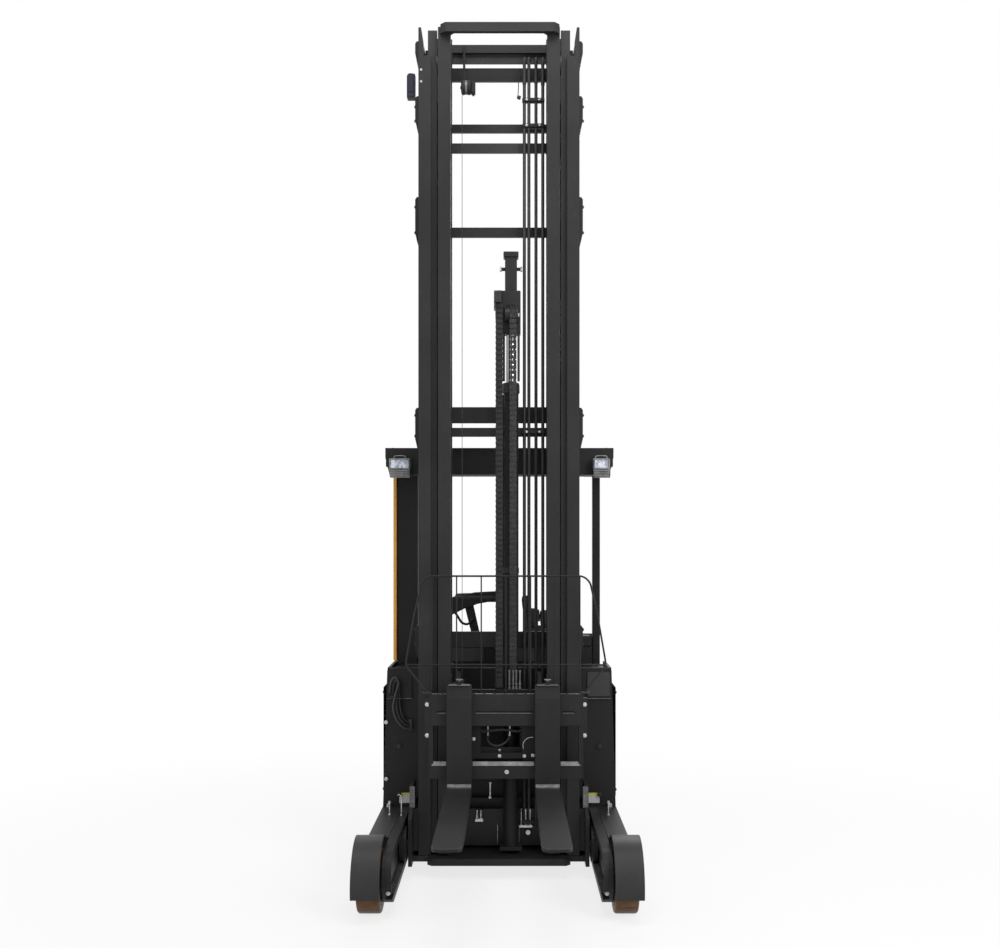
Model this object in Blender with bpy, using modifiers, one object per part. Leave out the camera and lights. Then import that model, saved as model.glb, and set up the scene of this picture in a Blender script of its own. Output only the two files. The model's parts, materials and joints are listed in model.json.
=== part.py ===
"""Reach truck with a nested three-stage mast, in metres.

+X is to the right when the forks are looked at from in front, the forks point to -Y,
and the floor is z = 0. The origin is under the middle of the machine.
"""
import math

import bmesh
import bpy
from mathutils import Matrix, Vector

# Gaps and fits
TOUCH = 0.0003        # between pieces that touch
PIN_FIT = 0.001       # between a pin or rod and its hole

# Widths, from the mast outwards
MAST_HALF = 0.401     # outer face of the uprights
REACH_IN = MAST_HALF + 0.026
REACH_OUT = REACH_IN + 0.018

# Wheel arms and load wheels
ARM_IN = REACH_OUT + 0.017    # lips of the roller channel
ARM_WEB = ARM_IN + 0.028      # inner face of the channel web
ARM_MID = ARM_WEB + 0.016     # outer face of the channel web
ARM_OUT = ARM_MID + 0.099
ARM_Z0 = 0.055
ARM_Z1 = 0.287
ARM_FLANGE = 0.030
ARM_NOSE_Y = -0.630
ARM_BACK_Y = 0.420
WHEEL_R = 0.1425
WHEEL_RIM_R = 0.112
WHEEL_X0 = ARM_MID + 0.006
WHEEL_X1 = WHEEL_X0 + 0.110
WHEEL_Y = -0.495
AXLE_R = 0.0175
COVER_R = 0.197
COVER_T = 0.010
COVER_X0 = ARM_MID + 0.003
COVER_X1 = WHEEL_X1 + 0.013
COVER_LOW_DEG = -10.0

# Body
BULK_Y = 0.345        # front face of the bulkhead
BULK_T = 0.015
BODY_Z0 = 0.2875
BODY_HALF_LOW = ARM_OUT
BODY_Z1 = 1.005
BODY_HALF_TOP = BODY_HALF_LOW - 0.022
BODY_HALF = BODY_HALF_TOP
BATTERY_HALF = BODY_HALF - 0.023
HOOD_HALF = BODY_HALF + 0.002
SHOULDER_Z0 = 0.847   # the shoulder panel leans back between these heights
SHOULDER_Z1 = 0.985
SHOULDER_OUT = 0.012
SIDE_T = 0.015
BEAM_Z0 = 0.060
BEAM_Z1 = 0.290
BATTERY_Y1 = 0.646
BATTERY_Z1 = 0.935
CAB_Y0 = 0.660
PILLAR_Y1 = 0.720
DASH_Y1 = 0.722
DASH_TOP = 1.148
CAB_Y1 = 1.195
HOOD_T = 0.050
REAR_Y = CAB_Y1 + HOOD_T
HOOD_Z1 = 1.120
DASH_X0 = 0.143 - BODY_HALF
DASH_X1 = BODY_HALF - 0.083
CONSOLE_Y0 = CAB_Y1 - 0.155
WHEEL_MID_X = 0.200   # steering wheel
WHEEL_MID_Y = CAB_Y1 - 0.135
WHEEL_MID_Z = 1.060
FLOOR_Z = 0.360
SEAT_Z = 1.020
ROOF_Z0 = 2.010
ROOF_Z1 = 2.150
ROOF_BARS_Z0 = 2.055
ROOF_HALF = BODY_HALF + 0.012
ROOF_CORNER = 0.022
ROOF_Y0 = 0.360

# Drive wheel
DRIVE_X = -0.120
DRIVE_Y = CAB_Y1 - 0.210
DRIVE_R = 0.1715
DRIVE_RIM_R = 0.128
DRIVE_W = 0.140

# Reach carriage, which runs in the arms
REACH_Z0 = 0.062
REACH_FLOOR = 0.097
REACH_ROLLER_R = 0.0855
REACH_ROLLER_Z = 0.171
REACH_ROLLER_YS = (0.030, 0.270)

# Mast sections, for the +X side: x from inside to outside, y from front to back
MAST_TOP = 4.222
OUTER = {"x0": MAST_HALF - 0.062, "x1": MAST_HALF, "y0": 0.085, "y1": 0.245, "t": 0.018,
         "z0": REACH_FLOOR + TOUCH, "z1": MAST_TOP - 0.004}
MIDDLE = {"x0": MAST_HALF - 0.092, "x1": MAST_HALF - 0.026, "y0": 0.111, "y1": 0.219, "t": 0.014,
          "z0": 0.105, "z1": MAST_TOP - 0.008}
INNER = {"x0": MAST_HALF - 0.162, "x1": MAST_HALF - 0.098, "y0": 0.075, "y1": 0.233, "t": 0.016,
         "z0": 0.108, "z1": MAST_TOP - 0.006}
OUTER_TIE_Y = (0.240, 0.272)
MIDDLE_TIE_Y = (0.238, 0.250)
INNER_TIE_Y = 0.2175  # front face
EAR_X = MAST_HALF + 0.019
TOP_BAR_Z0 = MAST_TOP - 0.046     # bent bar round the front of the inner stage
NOTCH_Z = MAST_TOP - 0.144        # the outer flange ends here and leaves a finger
NOTCH_BACK_Z = MAST_TOP - 0.077
FINGER_X = MAST_HALF - 0.0245

# Main lift cylinders, behind the outer uprights
RAM_X = MAST_HALF - 0.041
RAM_Y = 0.305
RAM_R = 0.028
RAM_BORE = 0.0215
RAM_ROD = 0.0205
RAM_TOP = MAST_TOP - 0.322
ROD_TOP = MAST_TOP - 0.132

# Free-lift cylinder, on the inner stage
FREE_X = 0.060
FREE_Y = 0.150
FREE_R = 0.038
FREE_BORE = 0.0265
FREE_ROD = 0.0255
FREE_TOP = 2.450
HEAD_Z = FREE_TOP + 0.250
CHAIN_TOP = HEAD_Z + 0.090
TRACK_TOP = HEAD_Z + 0.130

# Lift carriage, tilt frame and fork carriage
LOAD_X = 0.035        # the fork carriage stands this far to +X of the middle
CARR_Z0 = 0.510
CARR_Z1 = 0.920
CARR_HALF = 0.365
CARR_Y0 = -0.0647
CARR_Y1 = -0.032
TILT_Y0 = -0.026
TILT_Y1 = -0.004
TILT_PIN_Y = 0.012
TILT_PIN_Z = 0.540
LIFT_FRONT_Y = 0.032
FORK_XS = (-0.190, 0.236)
FORK_W = 0.120
FORK_T = 0.040
FORK_FACE_Y = -0.105
FORK_TIP_Y = -1.245
FORK_BLADE_Z = 0.475
FORK_TOP_Z = 0.965
GUARD_Y = -0.0385
GUARD_WIRE = 0.006
GUARD_TOP = 1.497
CHAIN_X = (0.052, 0.088)
CHAIN_Y = (0.0650, 0.0717)
TRACK_X = (-0.017, 0.019)
TRACK_Y = (0.0550, 0.0747)
LINK_PITCH = 0.0762

SIDES = (("left", -1.0), ("right", 1.0))
COLLECTION = "reach_truck"


def clear_scene():
    for obj in list(bpy.data.objects):
        bpy.data.objects.remove(obj, do_unlink=True)


def new_collection(name):
    group = bpy.data.collections.new(name)
    bpy.context.scene.collection.children.link(group)
    return group


clear_scene()
PARTS = new_collection(COLLECTION)
HELPERS = new_collection("helpers")
EMPTIES = {}
MATERIALS = {}

# slot name: colour, roughness, metallic
PAINTS = {
    "mast_paint": ((0.030, 0.030, 0.031), 0.45, 0.0),
    "body_paint": ((0.036, 0.036, 0.037), 0.50, 0.0),
    "dark_steel": ((0.050, 0.050, 0.052), 0.40, 0.6),
    "chrome": ((0.62, 0.62, 0.62), 0.15, 1.0),
    "polyurethane": ((0.18, 0.09, 0.045), 0.45, 0.0),
    "orange_paint": ((0.85, 0.36, 0.03), 0.40, 0.0),
    "black_plastic": ((0.022, 0.022, 0.023), 0.60, 0.0),
    "seat_cloth": ((0.030, 0.030, 0.032), 0.85, 0.0),
    "rubber_hose": ((0.016, 0.016, 0.017), 0.70, 0.0),
    "lamp_silver": ((0.55, 0.55, 0.56), 0.30, 0.8),
}


def paint(slot):
    if slot not in MATERIALS:
        colour, rough, metal = PAINTS[slot]
        mat = bpy.data.materials.new(slot)
        mat.use_nodes = True
        shader = mat.node_tree.nodes["Principled BSDF"]
        shader.inputs["Base Color"].default_value = (*colour, 1.0)
        shader.inputs["Roughness"].default_value = rough
        shader.inputs["Metallic"].default_value = metal
        MATERIALS[slot] = mat
    return MATERIALS[slot]


def helper(mesh, name="helper"):
    obj = bpy.data.objects.new(name, mesh)
    HELPERS.objects.link(obj)
    obj.hide_render = True
    obj.display_type = "WIRE"
    return obj


def box(x, y, z, bevel=0.0):
    """A box from three (low, high) pairs."""
    bm = bmesh.new()
    bmesh.ops.create_cube(bm, size=1.0)
    size = (x[1] - x[0], y[1] - y[0], z[1] - z[0])
    mid = ((x[0] + x[1]) / 2, (y[0] + y[1]) / 2, (z[0] + z[1]) / 2)
    bmesh.ops.scale(bm, vec=size, verts=bm.verts)
    bmesh.ops.translate(bm, vec=mid, verts=bm.verts)
    if bevel > 0.0:
        bmesh.ops.bevel(bm, geom=list(bm.edges), offset=bevel, segments=1, affect="EDGES")
    mesh = bpy.data.meshes.new("box")
    bm.to_mesh(mesh)
    bm.free()
    return helper(mesh)


def rod(p, q, radius, sides=24, radius2=None):
    """A cylinder or cone between two points."""
    a = Vector(p)
    b = Vector(q)
    bm = bmesh.new()
    top = radius if radius2 is None else radius2
    bmesh.ops.create_cone(bm, cap_ends=True, cap_tris=False, segments=sides,
                          radius1=radius, radius2=top, depth=(b - a).length)
    turn = Vector((0, 0, 1)).rotation_difference((b - a).normalized()).to_matrix().to_4x4()
    bmesh.ops.transform(bm, matrix=Matrix.Translation((a + b) / 2) @ turn, verts=bm.verts)
    mesh = bpy.data.meshes.new("rod")
    bm.to_mesh(mesh)
    bm.free()
    return helper(mesh)


def curve_to_mesh(curve, matrix):
    """A curve object made a mesh, its caps welded."""
    obj = bpy.data.objects.new("curve", curve)
    HELPERS.objects.link(obj)
    obj.matrix_world = matrix
    bpy.context.view_layer.update()
    deps = bpy.context.evaluated_depsgraph_get()
    mesh = bpy.data.meshes.new_from_object(obj.evaluated_get(deps))
    bm = bmesh.new()
    bm.from_mesh(mesh)
    bmesh.ops.remove_doubles(bm, verts=bm.verts, dist=0.00005)
    bmesh.ops.recalc_face_normals(bm, faces=bm.faces)
    bm.transform(matrix)
    bm.to_mesh(mesh)
    bm.free()
    bpy.data.objects.remove(obj, do_unlink=True)
    return helper(mesh)


PLANES = {
    # plane: matrix that takes the flat outline's own x, y and its thickness into place
    "xy": Matrix(((1, 0, 0, 0), (0, 1, 0, 0), (0, 0, 1, 0), (0, 0, 0, 1))),
    "xz": Matrix(((1, 0, 0, 0), (0, 0, -1, 0), (0, 1, 0, 0), (0, 0, 0, 1))),
    "yz": Matrix(((0, 0, 1, 0), (1, 0, 0, 0), (0, 1, 0, 0), (0, 0, 0, 1))),
}
NORMALS = {"xy": Vector((0, 0, 1)), "xz": Vector((0, 1, 0)), "yz": Vector((1, 0, 0))}


def outline(plane, points, low, high, holes=()):
    """A flat outline, given in one plane, thickened from low to high across it."""
    curve = bpy.data.curves.new("outline", "CURVE")
    curve.dimensions = "2D"
    curve.fill_mode = "BOTH"
    curve.extrude = (high - low) / 2
    for ring in (points, *holes):
        spline = curve.splines.new("POLY")
        spline.points.add(len(ring) - 1)
        for point, (u, v) in zip(spline.points, ring):
            point.co = (u, v, 0.0, 1.0)
        spline.use_cyclic_u = True
    shift = Matrix.Translation(NORMALS[plane] * ((low + high) / 2))
    return curve_to_mesh(curve, shift @ PLANES[plane])


def wire(points, radius, resolution=2, cyclic=False):
    """A round bar along straight runs."""
    curve = bpy.data.curves.new("wire", "CURVE")
    curve.dimensions = "3D"
    curve.bevel_depth = radius
    curve.bevel_resolution = resolution
    curve.use_fill_caps = True
    spline = curve.splines.new("POLY")
    spline.points.add(len(points) - 1)
    for point, co in zip(spline.points, points):
        point.co = (*co, 1.0)
    spline.use_cyclic_u = cyclic
    return curve_to_mesh(curve, Matrix.Identity(4))


def arc(cy, cz, radius, start_deg, end_deg, steps):
    """Points on a circle, from one angle to another."""
    points = []
    for i in range(steps + 1):
        a = math.radians(start_deg + (end_deg - start_deg) * i / steps)
        points.append((cy + radius * math.cos(a), cz + radius * math.sin(a)))
    return points


def turned(profile, centre, axis="X", steps=32):
    """A closed profile of (radius, along) pairs, turned about X or Z through a centre."""
    mesh = bpy.data.meshes.new("profile")
    verts = [(r, 0.0, a) for r, a in profile]
    edges = [(i, (i + 1) % len(verts)) for i in range(len(verts))]
    mesh.from_pydata(verts, edges, [])
    obj = helper(mesh)
    screw = obj.modifiers.new("turn", "SCREW")
    screw.axis = "Z"
    screw.angle = math.tau
    screw.steps = steps
    screw.render_steps = steps
    screw.use_merge_vertices = True
    screw.merge_threshold = 0.0001
    bpy.context.view_layer.update()
    deps = bpy.context.evaluated_depsgraph_get()
    made = bpy.data.meshes.new_from_object(obj.evaluated_get(deps))
    bpy.data.objects.remove(obj, do_unlink=True)
    turn = Matrix.Rotation(math.radians(90), 4, "Y") if axis == "X" else Matrix.Identity(4)
    bm = bmesh.new()
    bm.from_mesh(made)
    bmesh.ops.remove_doubles(bm, verts=bm.verts, dist=0.00005)
    bmesh.ops.recalc_face_normals(bm, faces=bm.faces)
    bm.transform(Matrix.Translation(centre) @ turn)
    bm.to_mesh(made)
    bm.free()
    return helper(made)


def empty(name, place, parent=None):
    obj = bpy.data.objects.new("joint_" + name, None)
    obj.empty_display_size = 0.1
    PARTS.objects.link(obj)
    obj.location = place
    if parent:
        up = EMPTIES[parent]
        obj.parent = up
        obj.matrix_parent_inverse = Matrix.Translation(-up.matrix_world.translation)
    bpy.context.view_layer.update()
    EMPTIES[name] = obj
    return obj


def node(name, slot, body, solids, cuts=(), smooth=40.0):
    """One named piece: its solids joined, the cuts taken out, its origin on its joint."""
    base = solids[0]
    for mode, group in (("UNION", solids[1:]), ("DIFFERENCE", cuts)):
        for tool in group:
            mod = base.modifiers.new(mode.lower(), "BOOLEAN")
            mod.operation = mode
            mod.solver = "EXACT"
            mod.object = tool
    bpy.context.view_layer.update()
    deps = bpy.context.evaluated_depsgraph_get()
    mesh = bpy.data.meshes.new_from_object(base.evaluated_get(deps))
    mesh.name = name
    for tool in (*solids, *cuts):
        if tool.name in HELPERS.objects:
            bpy.data.objects.remove(tool, do_unlink=True)
    up = EMPTIES[body]
    origin = up.matrix_world.translation.copy()
    bm = bmesh.new()
    bm.from_mesh(mesh)
    bmesh.ops.remove_doubles(bm, verts=bm.verts, dist=0.00002)
    bmesh.ops.dissolve_degenerate(bm, edges=bm.edges, dist=0.00002)
    bmesh.ops.translate(bm, vec=-origin, verts=bm.verts)
    bm.to_mesh(mesh)
    bm.free()
    mesh.materials.clear()
    mesh.materials.append(paint(slot))
    mesh.shade_smooth()
    mesh.set_sharp_from_angle(angle=math.radians(smooth))
    obj = bpy.data.objects.new(name, mesh)
    PARTS.objects.link(obj)
    obj.parent = up
    obj.location = (0.0, 0.0, 0.0)
    return obj


def body_half(z):
    """Half width of the body at a height: it leans in towards the top."""
    share = (z - BODY_Z0) / (BODY_Z1 - BODY_Z0)
    return BODY_HALF_LOW + (BODY_HALF_TOP - BODY_HALF_LOW) * share


# Joint frames: name, place, parent
FRAMES = (
    ("chassis", (0.0, 0.0, 0.0), None),
    ("load_wheel_left", (-(WHEEL_X0 + WHEEL_X1) / 2, WHEEL_Y, WHEEL_R), "chassis"),
    ("load_wheel_right", ((WHEEL_X0 + WHEEL_X1) / 2, WHEEL_Y, WHEEL_R), "chassis"),
    ("drive_steer", (DRIVE_X, DRIVE_Y, 0.395), "chassis"),
    ("drive_wheel", (DRIVE_X, DRIVE_Y, DRIVE_R), "drive_steer"),
    ("steering_wheel", (WHEEL_MID_X, WHEEL_MID_Y, WHEEL_MID_Z), "chassis"),
    ("reach", (0.0, 0.085, REACH_ROLLER_Z), "chassis"),
    ("middle_mast", (0.0, 0.165, MIDDLE["z0"]), "reach"),
    ("inner_mast", (0.0, 0.154, INNER["z0"]), "middle_mast"),
    ("crosshead", (FREE_X, FREE_Y, HEAD_Z), "inner_mast"),
    ("lift_carriage", (0.0, 0.154, CARR_Z0), "inner_mast"),
    ("fork_tilt", (0.0, TILT_PIN_Y, TILT_PIN_Z), "lift_carriage"),
    ("side_shift", (LOAD_X, CARR_Y1, CARR_Z1), "fork_tilt"),
)
for frame_name, frame_place, frame_parent in FRAMES:
    empty(frame_name, frame_place, frame_parent)


def channel(sec, side, z0=None, z1=None):
    """A C section that opens inwards, as an upright."""
    x0, x1, y0, y1, t = (sec[k] for k in ("x0", "x1", "y0", "y1", "t"))
    points = [(x0, y0), (x1, y0), (x1, y1), (x0, y1),
              (x0, y1 - t), (x1 - t, y1 - t), (x1 - t, y0 + t), (x0, y0 + t)]
    points = [(side * x, y) for x, y in points]
    low = sec["z0"] if z0 is None else z0
    high = sec["z1"] if z1 is None else z1
    return outline("xy", points, low, high)


def beam(sec, side):
    """An I section, as an upright: two flanges and the web between them."""
    x0, x1, y0, y1, t = (sec[k] for k in ("x0", "x1", "y0", "y1", "t"))
    mid = (x0 + x1) / 2
    z = (sec["z0"], sec["z1"])
    inside = (sec["z0"] + 0.001, sec["z1"] - 0.001)
    return [box(sided(side, x0, x1), (y0, y0 + t), z),
            box(sided(side, mid - t / 2, mid + t / 2), (y0 + t - 0.002, y1 - t + 0.002), inside),
            box(sided(side, x0, x1), (y1 - t, y1), z)]


def sided(side, x0, x1):
    """An (x low, x high) pair on the named side."""
    return (x0, x1) if side > 0 else (-x1, -x0)


# Wheel arms with load wheels
def wheel_arm(word, side):
    lip0 = ARM_Z0 + ARM_FLANGE
    lip1 = ARM_Z1 - ARM_FLANGE
    section = [(ARM_IN, ARM_Z0), (ARM_MID, ARM_Z0), (ARM_MID, ARM_Z1), (ARM_IN, ARM_Z1),
               (ARM_IN, lip1), (ARM_WEB, lip1), (ARM_WEB, lip0), (ARM_IN, lip0)]
    rail = outline("xz", [(side * x, z) for x, z in section], ARM_NOSE_Y, ARM_BACK_Y - TOUCH)
    box_y0 = WHEEL_Y + COVER_R + TOUCH
    arm = box(sided(side, ARM_WEB + 0.004, ARM_OUT), (box_y0, ARM_BACK_Y - TOUCH), (ARM_Z0, ARM_Z1))
    mid_z = (ARM_Z0 + ARM_Z1) / 2
    keep_r = (ARM_Z1 - ARM_Z0) / 2
    round_nose = outline("yz", [(ARM_NOSE_Y - 0.06, 0.0), (ARM_NOSE_Y + keep_r, 0.0)]
                         + [(y, z) for y, z in arc(ARM_NOSE_Y + keep_r, mid_z, keep_r, 270, 90, 12)]
                         + [(ARM_NOSE_Y + keep_r, 0.35), (ARM_NOSE_Y - 0.06, 0.35)],
                         *sided(side, 0.44, 0.5085))
    node("wheel_arm_" + word, "body_paint", "chassis", [rail, arm], [round_nose])


def wheel_cover(word, side):
    ring = arc(WHEEL_Y, WHEEL_R, COVER_R, 180 - COVER_LOW_DEG, 0, 22)
    inner = arc(WHEEL_Y, WHEEL_R, COVER_R - COVER_T, 0, 180 - COVER_LOW_DEG, 22)
    band = outline("yz", ring + inner, *sided(side, COVER_X0, COVER_X1))
    low_z = WHEEL_R + COVER_R * math.sin(math.radians(COVER_LOW_DEG))
    plate_pts = ring + [(WHEEL_Y + COVER_R, low_z)]
    plate = outline("yz", plate_pts, *sided(side, COVER_X1 - 0.007, COVER_X1))
    node("wheel_cover_" + word, "body_paint", "chassis", [band, plate])


def load_axle(word, side):
    shaft = rod((side * (ARM_MID + TOUCH), WHEEL_Y, WHEEL_R),
                (side * (COVER_X1 - 0.007 - TOUCH), WHEEL_Y, WHEEL_R), AXLE_R, 24)
    node("load_axle_" + word, "dark_steel", "chassis", [shaft])


def roller_wheel(word, body, centre_x, y, z, radius, rim_r, x0, x1, bore, slot):
    """A steel wheel with a cast tread: two pieces on one joint."""
    half = (x1 - x0) / 2
    web = 0.012
    hub = [(bore, half), (rim_r * 0.44, half), (rim_r * 0.44, web), (rim_r * 0.82, web),
           (rim_r * 0.84, half), (rim_r, half), (rim_r, -half), (rim_r * 0.84, -half),
           (rim_r * 0.82, -web), (rim_r * 0.44, -web), (rim_r * 0.44, -half), (bore, -half)]
    tread = [(rim_r + TOUCH, half - 0.002), (radius - 0.008, half - 0.002), (radius, half - 0.010),
             (radius, -half + 0.010), (radius - 0.008, -half + 0.002),
             (rim_r + TOUCH, -half + 0.002)]
    node(word + "_hub", "dark_steel", body, [turned(hub, (centre_x, y, z), "X", 24)])
    node(word + "_tyre", slot, body, [turned(tread, (centre_x, y, z), "X", 24)])


for side_word, side_sign in SIDES:
    wheel_arm(side_word, side_sign)
    wheel_cover(side_word, side_sign)
    load_axle(side_word, side_sign)
    wheel_mid = side_sign * (WHEEL_X0 + WHEEL_X1) / 2
    roller_wheel("load_wheel_" + side_word, "load_wheel_" + side_word, wheel_mid, WHEEL_Y, WHEEL_R,
                 WHEEL_R, WHEEL_RIM_R, WHEEL_X0, WHEEL_X1, AXLE_R + PIN_FIT, "polyurethane")


# Chassis frame: beams, drive deck and operator's floor
def chassis_frame():
    frame_half = BODY_HALF_LOW - 0.005
    side_in = BODY_HALF - 0.063
    sill = side_in + 0.040
    deck_z = (0.400, 0.430)
    solids = [
        box((-frame_half, frame_half), (ARM_BACK_Y, 0.728), (BEAM_Z0, BEAM_Z1)),
        rod((DRIVE_X, DRIVE_Y, 0.3945), (DRIVE_X, DRIVE_Y, 0.405), 0.090, 24),
        box((-frame_half + 0.002, -side_in), (0.640, CAB_Y1), (BEAM_Z0 + 0.002, BEAM_Z1 - 0.002)),
        box((side_in, frame_half - 0.002), (0.640, CAB_Y1), (BEAM_Z0 + 0.002, BEAM_Z1 - 0.002)),
        box((-frame_half, frame_half), (CAB_Y1 - 0.010, CAB_Y1 + 0.025), (BEAM_Z0 + 0.02, BEAM_Z1)),
        box((-sill, -side_in - 0.002), (0.725, CAB_Y1 - 0.003), (0.200, deck_z[1] - 0.001)),
        box((-sill + 0.020, 0.094), (0.727, CAB_Y1 - 0.002), deck_z),
        box((0.075, 0.095), (0.729, CAB_Y1 - 0.001), (FLOOR_Z - 0.018, deck_z[1] - 0.002)),
        box((0.077, sill - 0.002), (0.726, CAB_Y1 - 0.0015), (FLOOR_Z - 0.020, FLOOR_Z)),
        box((side_in + 0.002, sill), (0.725, CAB_Y1 - 0.003), (0.200, FLOOR_Z - 0.001)),
    ]
    node("chassis_frame", "body_paint", "chassis", solids)


def front_bulkhead():
    top = BODY_Z1 - 0.012
    points = [(-BODY_HALF_LOW, BODY_Z0), (BODY_HALF_LOW, BODY_Z0), (body_half(top), top),
              (body_half(top) - 0.02, BODY_Z1), (-body_half(top) + 0.02, BODY_Z1),
              (-body_half(top), top)]
    shoulder = [(BULK_Y + 0.002, SHOULDER_Z0), (BULK_Y - SHOULDER_OUT, SHOULDER_Z0 + 0.003),
                (BULK_Y - SHOULDER_OUT, SHOULDER_Z0 + 0.010), (BULK_Y - 0.001, SHOULDER_Z1),
                (BULK_Y + 0.002, SHOULDER_Z1)]
    wedges = [outline("yz", shoulder, *sided(side, 0.455, BODY_HALF - 0.004)) for side in (-1.0, 1.0)]
    node("front_bulkhead", "body_paint", "chassis",
         [outline("xz", points, BULK_Y, BULK_Y + BULK_T), *wedges])


def body_side(word, side, y1):
    z0 = BEAM_Z1 + TOUCH
    points = [(body_half(z0) - SIDE_T, z0), (body_half(z0), z0), (BODY_HALF_TOP, BODY_Z1),
              (BODY_HALF_TOP - SIDE_T, BODY_Z1)]
    points = [(side * x, z) for x, z in points]
    node("body_side_" + word, "body_paint", "chassis",
         [outline("xz", points, BULK_Y + BULK_T + TOUCH, y1)])


chassis_frame()
front_bulkhead()
body_side("left", -1.0, CAB_Y1 - TOUCH)
body_side("right", 1.0, DASH_Y1)
node("battery", "dark_steel", "chassis",
     [box((-BATTERY_HALF, BATTERY_HALF), (BULK_Y + BULK_T + 0.006, BATTERY_Y1),
          (BEAM_Z1 + TOUCH, BATTERY_Z1))])
node("battery_cover", "body_paint", "chassis",
     [box((-BATTERY_HALF - 0.004, BATTERY_HALF + 0.004), (BULK_Y + BULK_T + 0.0005, BATTERY_Y1 + 0.006),
          (BATTERY_Z1 + TOUCH, BATTERY_Z1 + 0.055), 0.004)])


def drive_unit():
    node("drive_motor", "dark_steel", "chassis",
         [rod((DRIVE_X, DRIVE_Y, 0.4303), (DRIVE_X, DRIVE_Y, 0.760), 0.105, 32)])
    fork_x0 = DRIVE_X + DRIVE_W / 2 + 0.008
    plate = rod((DRIVE_X, DRIVE_Y, 0.368), (DRIVE_X, DRIVE_Y, 0.394), 0.120, 32)
    leg = box((fork_x0, fork_x0 + 0.045), (DRIVE_Y - 0.070, DRIVE_Y + 0.070), (0.110, 0.380), 0.006)
    stub = rod((fork_x0 + 0.020, DRIVE_Y, DRIVE_R), (DRIVE_X - 0.055, DRIVE_Y, DRIVE_R), 0.022, 24)
    node("drive_fork", "dark_steel", "drive_steer", [plate, leg, stub])
    roller_wheel("drive_wheel", "drive_wheel", DRIVE_X, DRIVE_Y, DRIVE_R, DRIVE_R, DRIVE_RIM_R,
                 DRIVE_X - DRIVE_W / 2, DRIVE_X + DRIVE_W / 2, 0.023, "polyurethane")


drive_unit()


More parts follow.
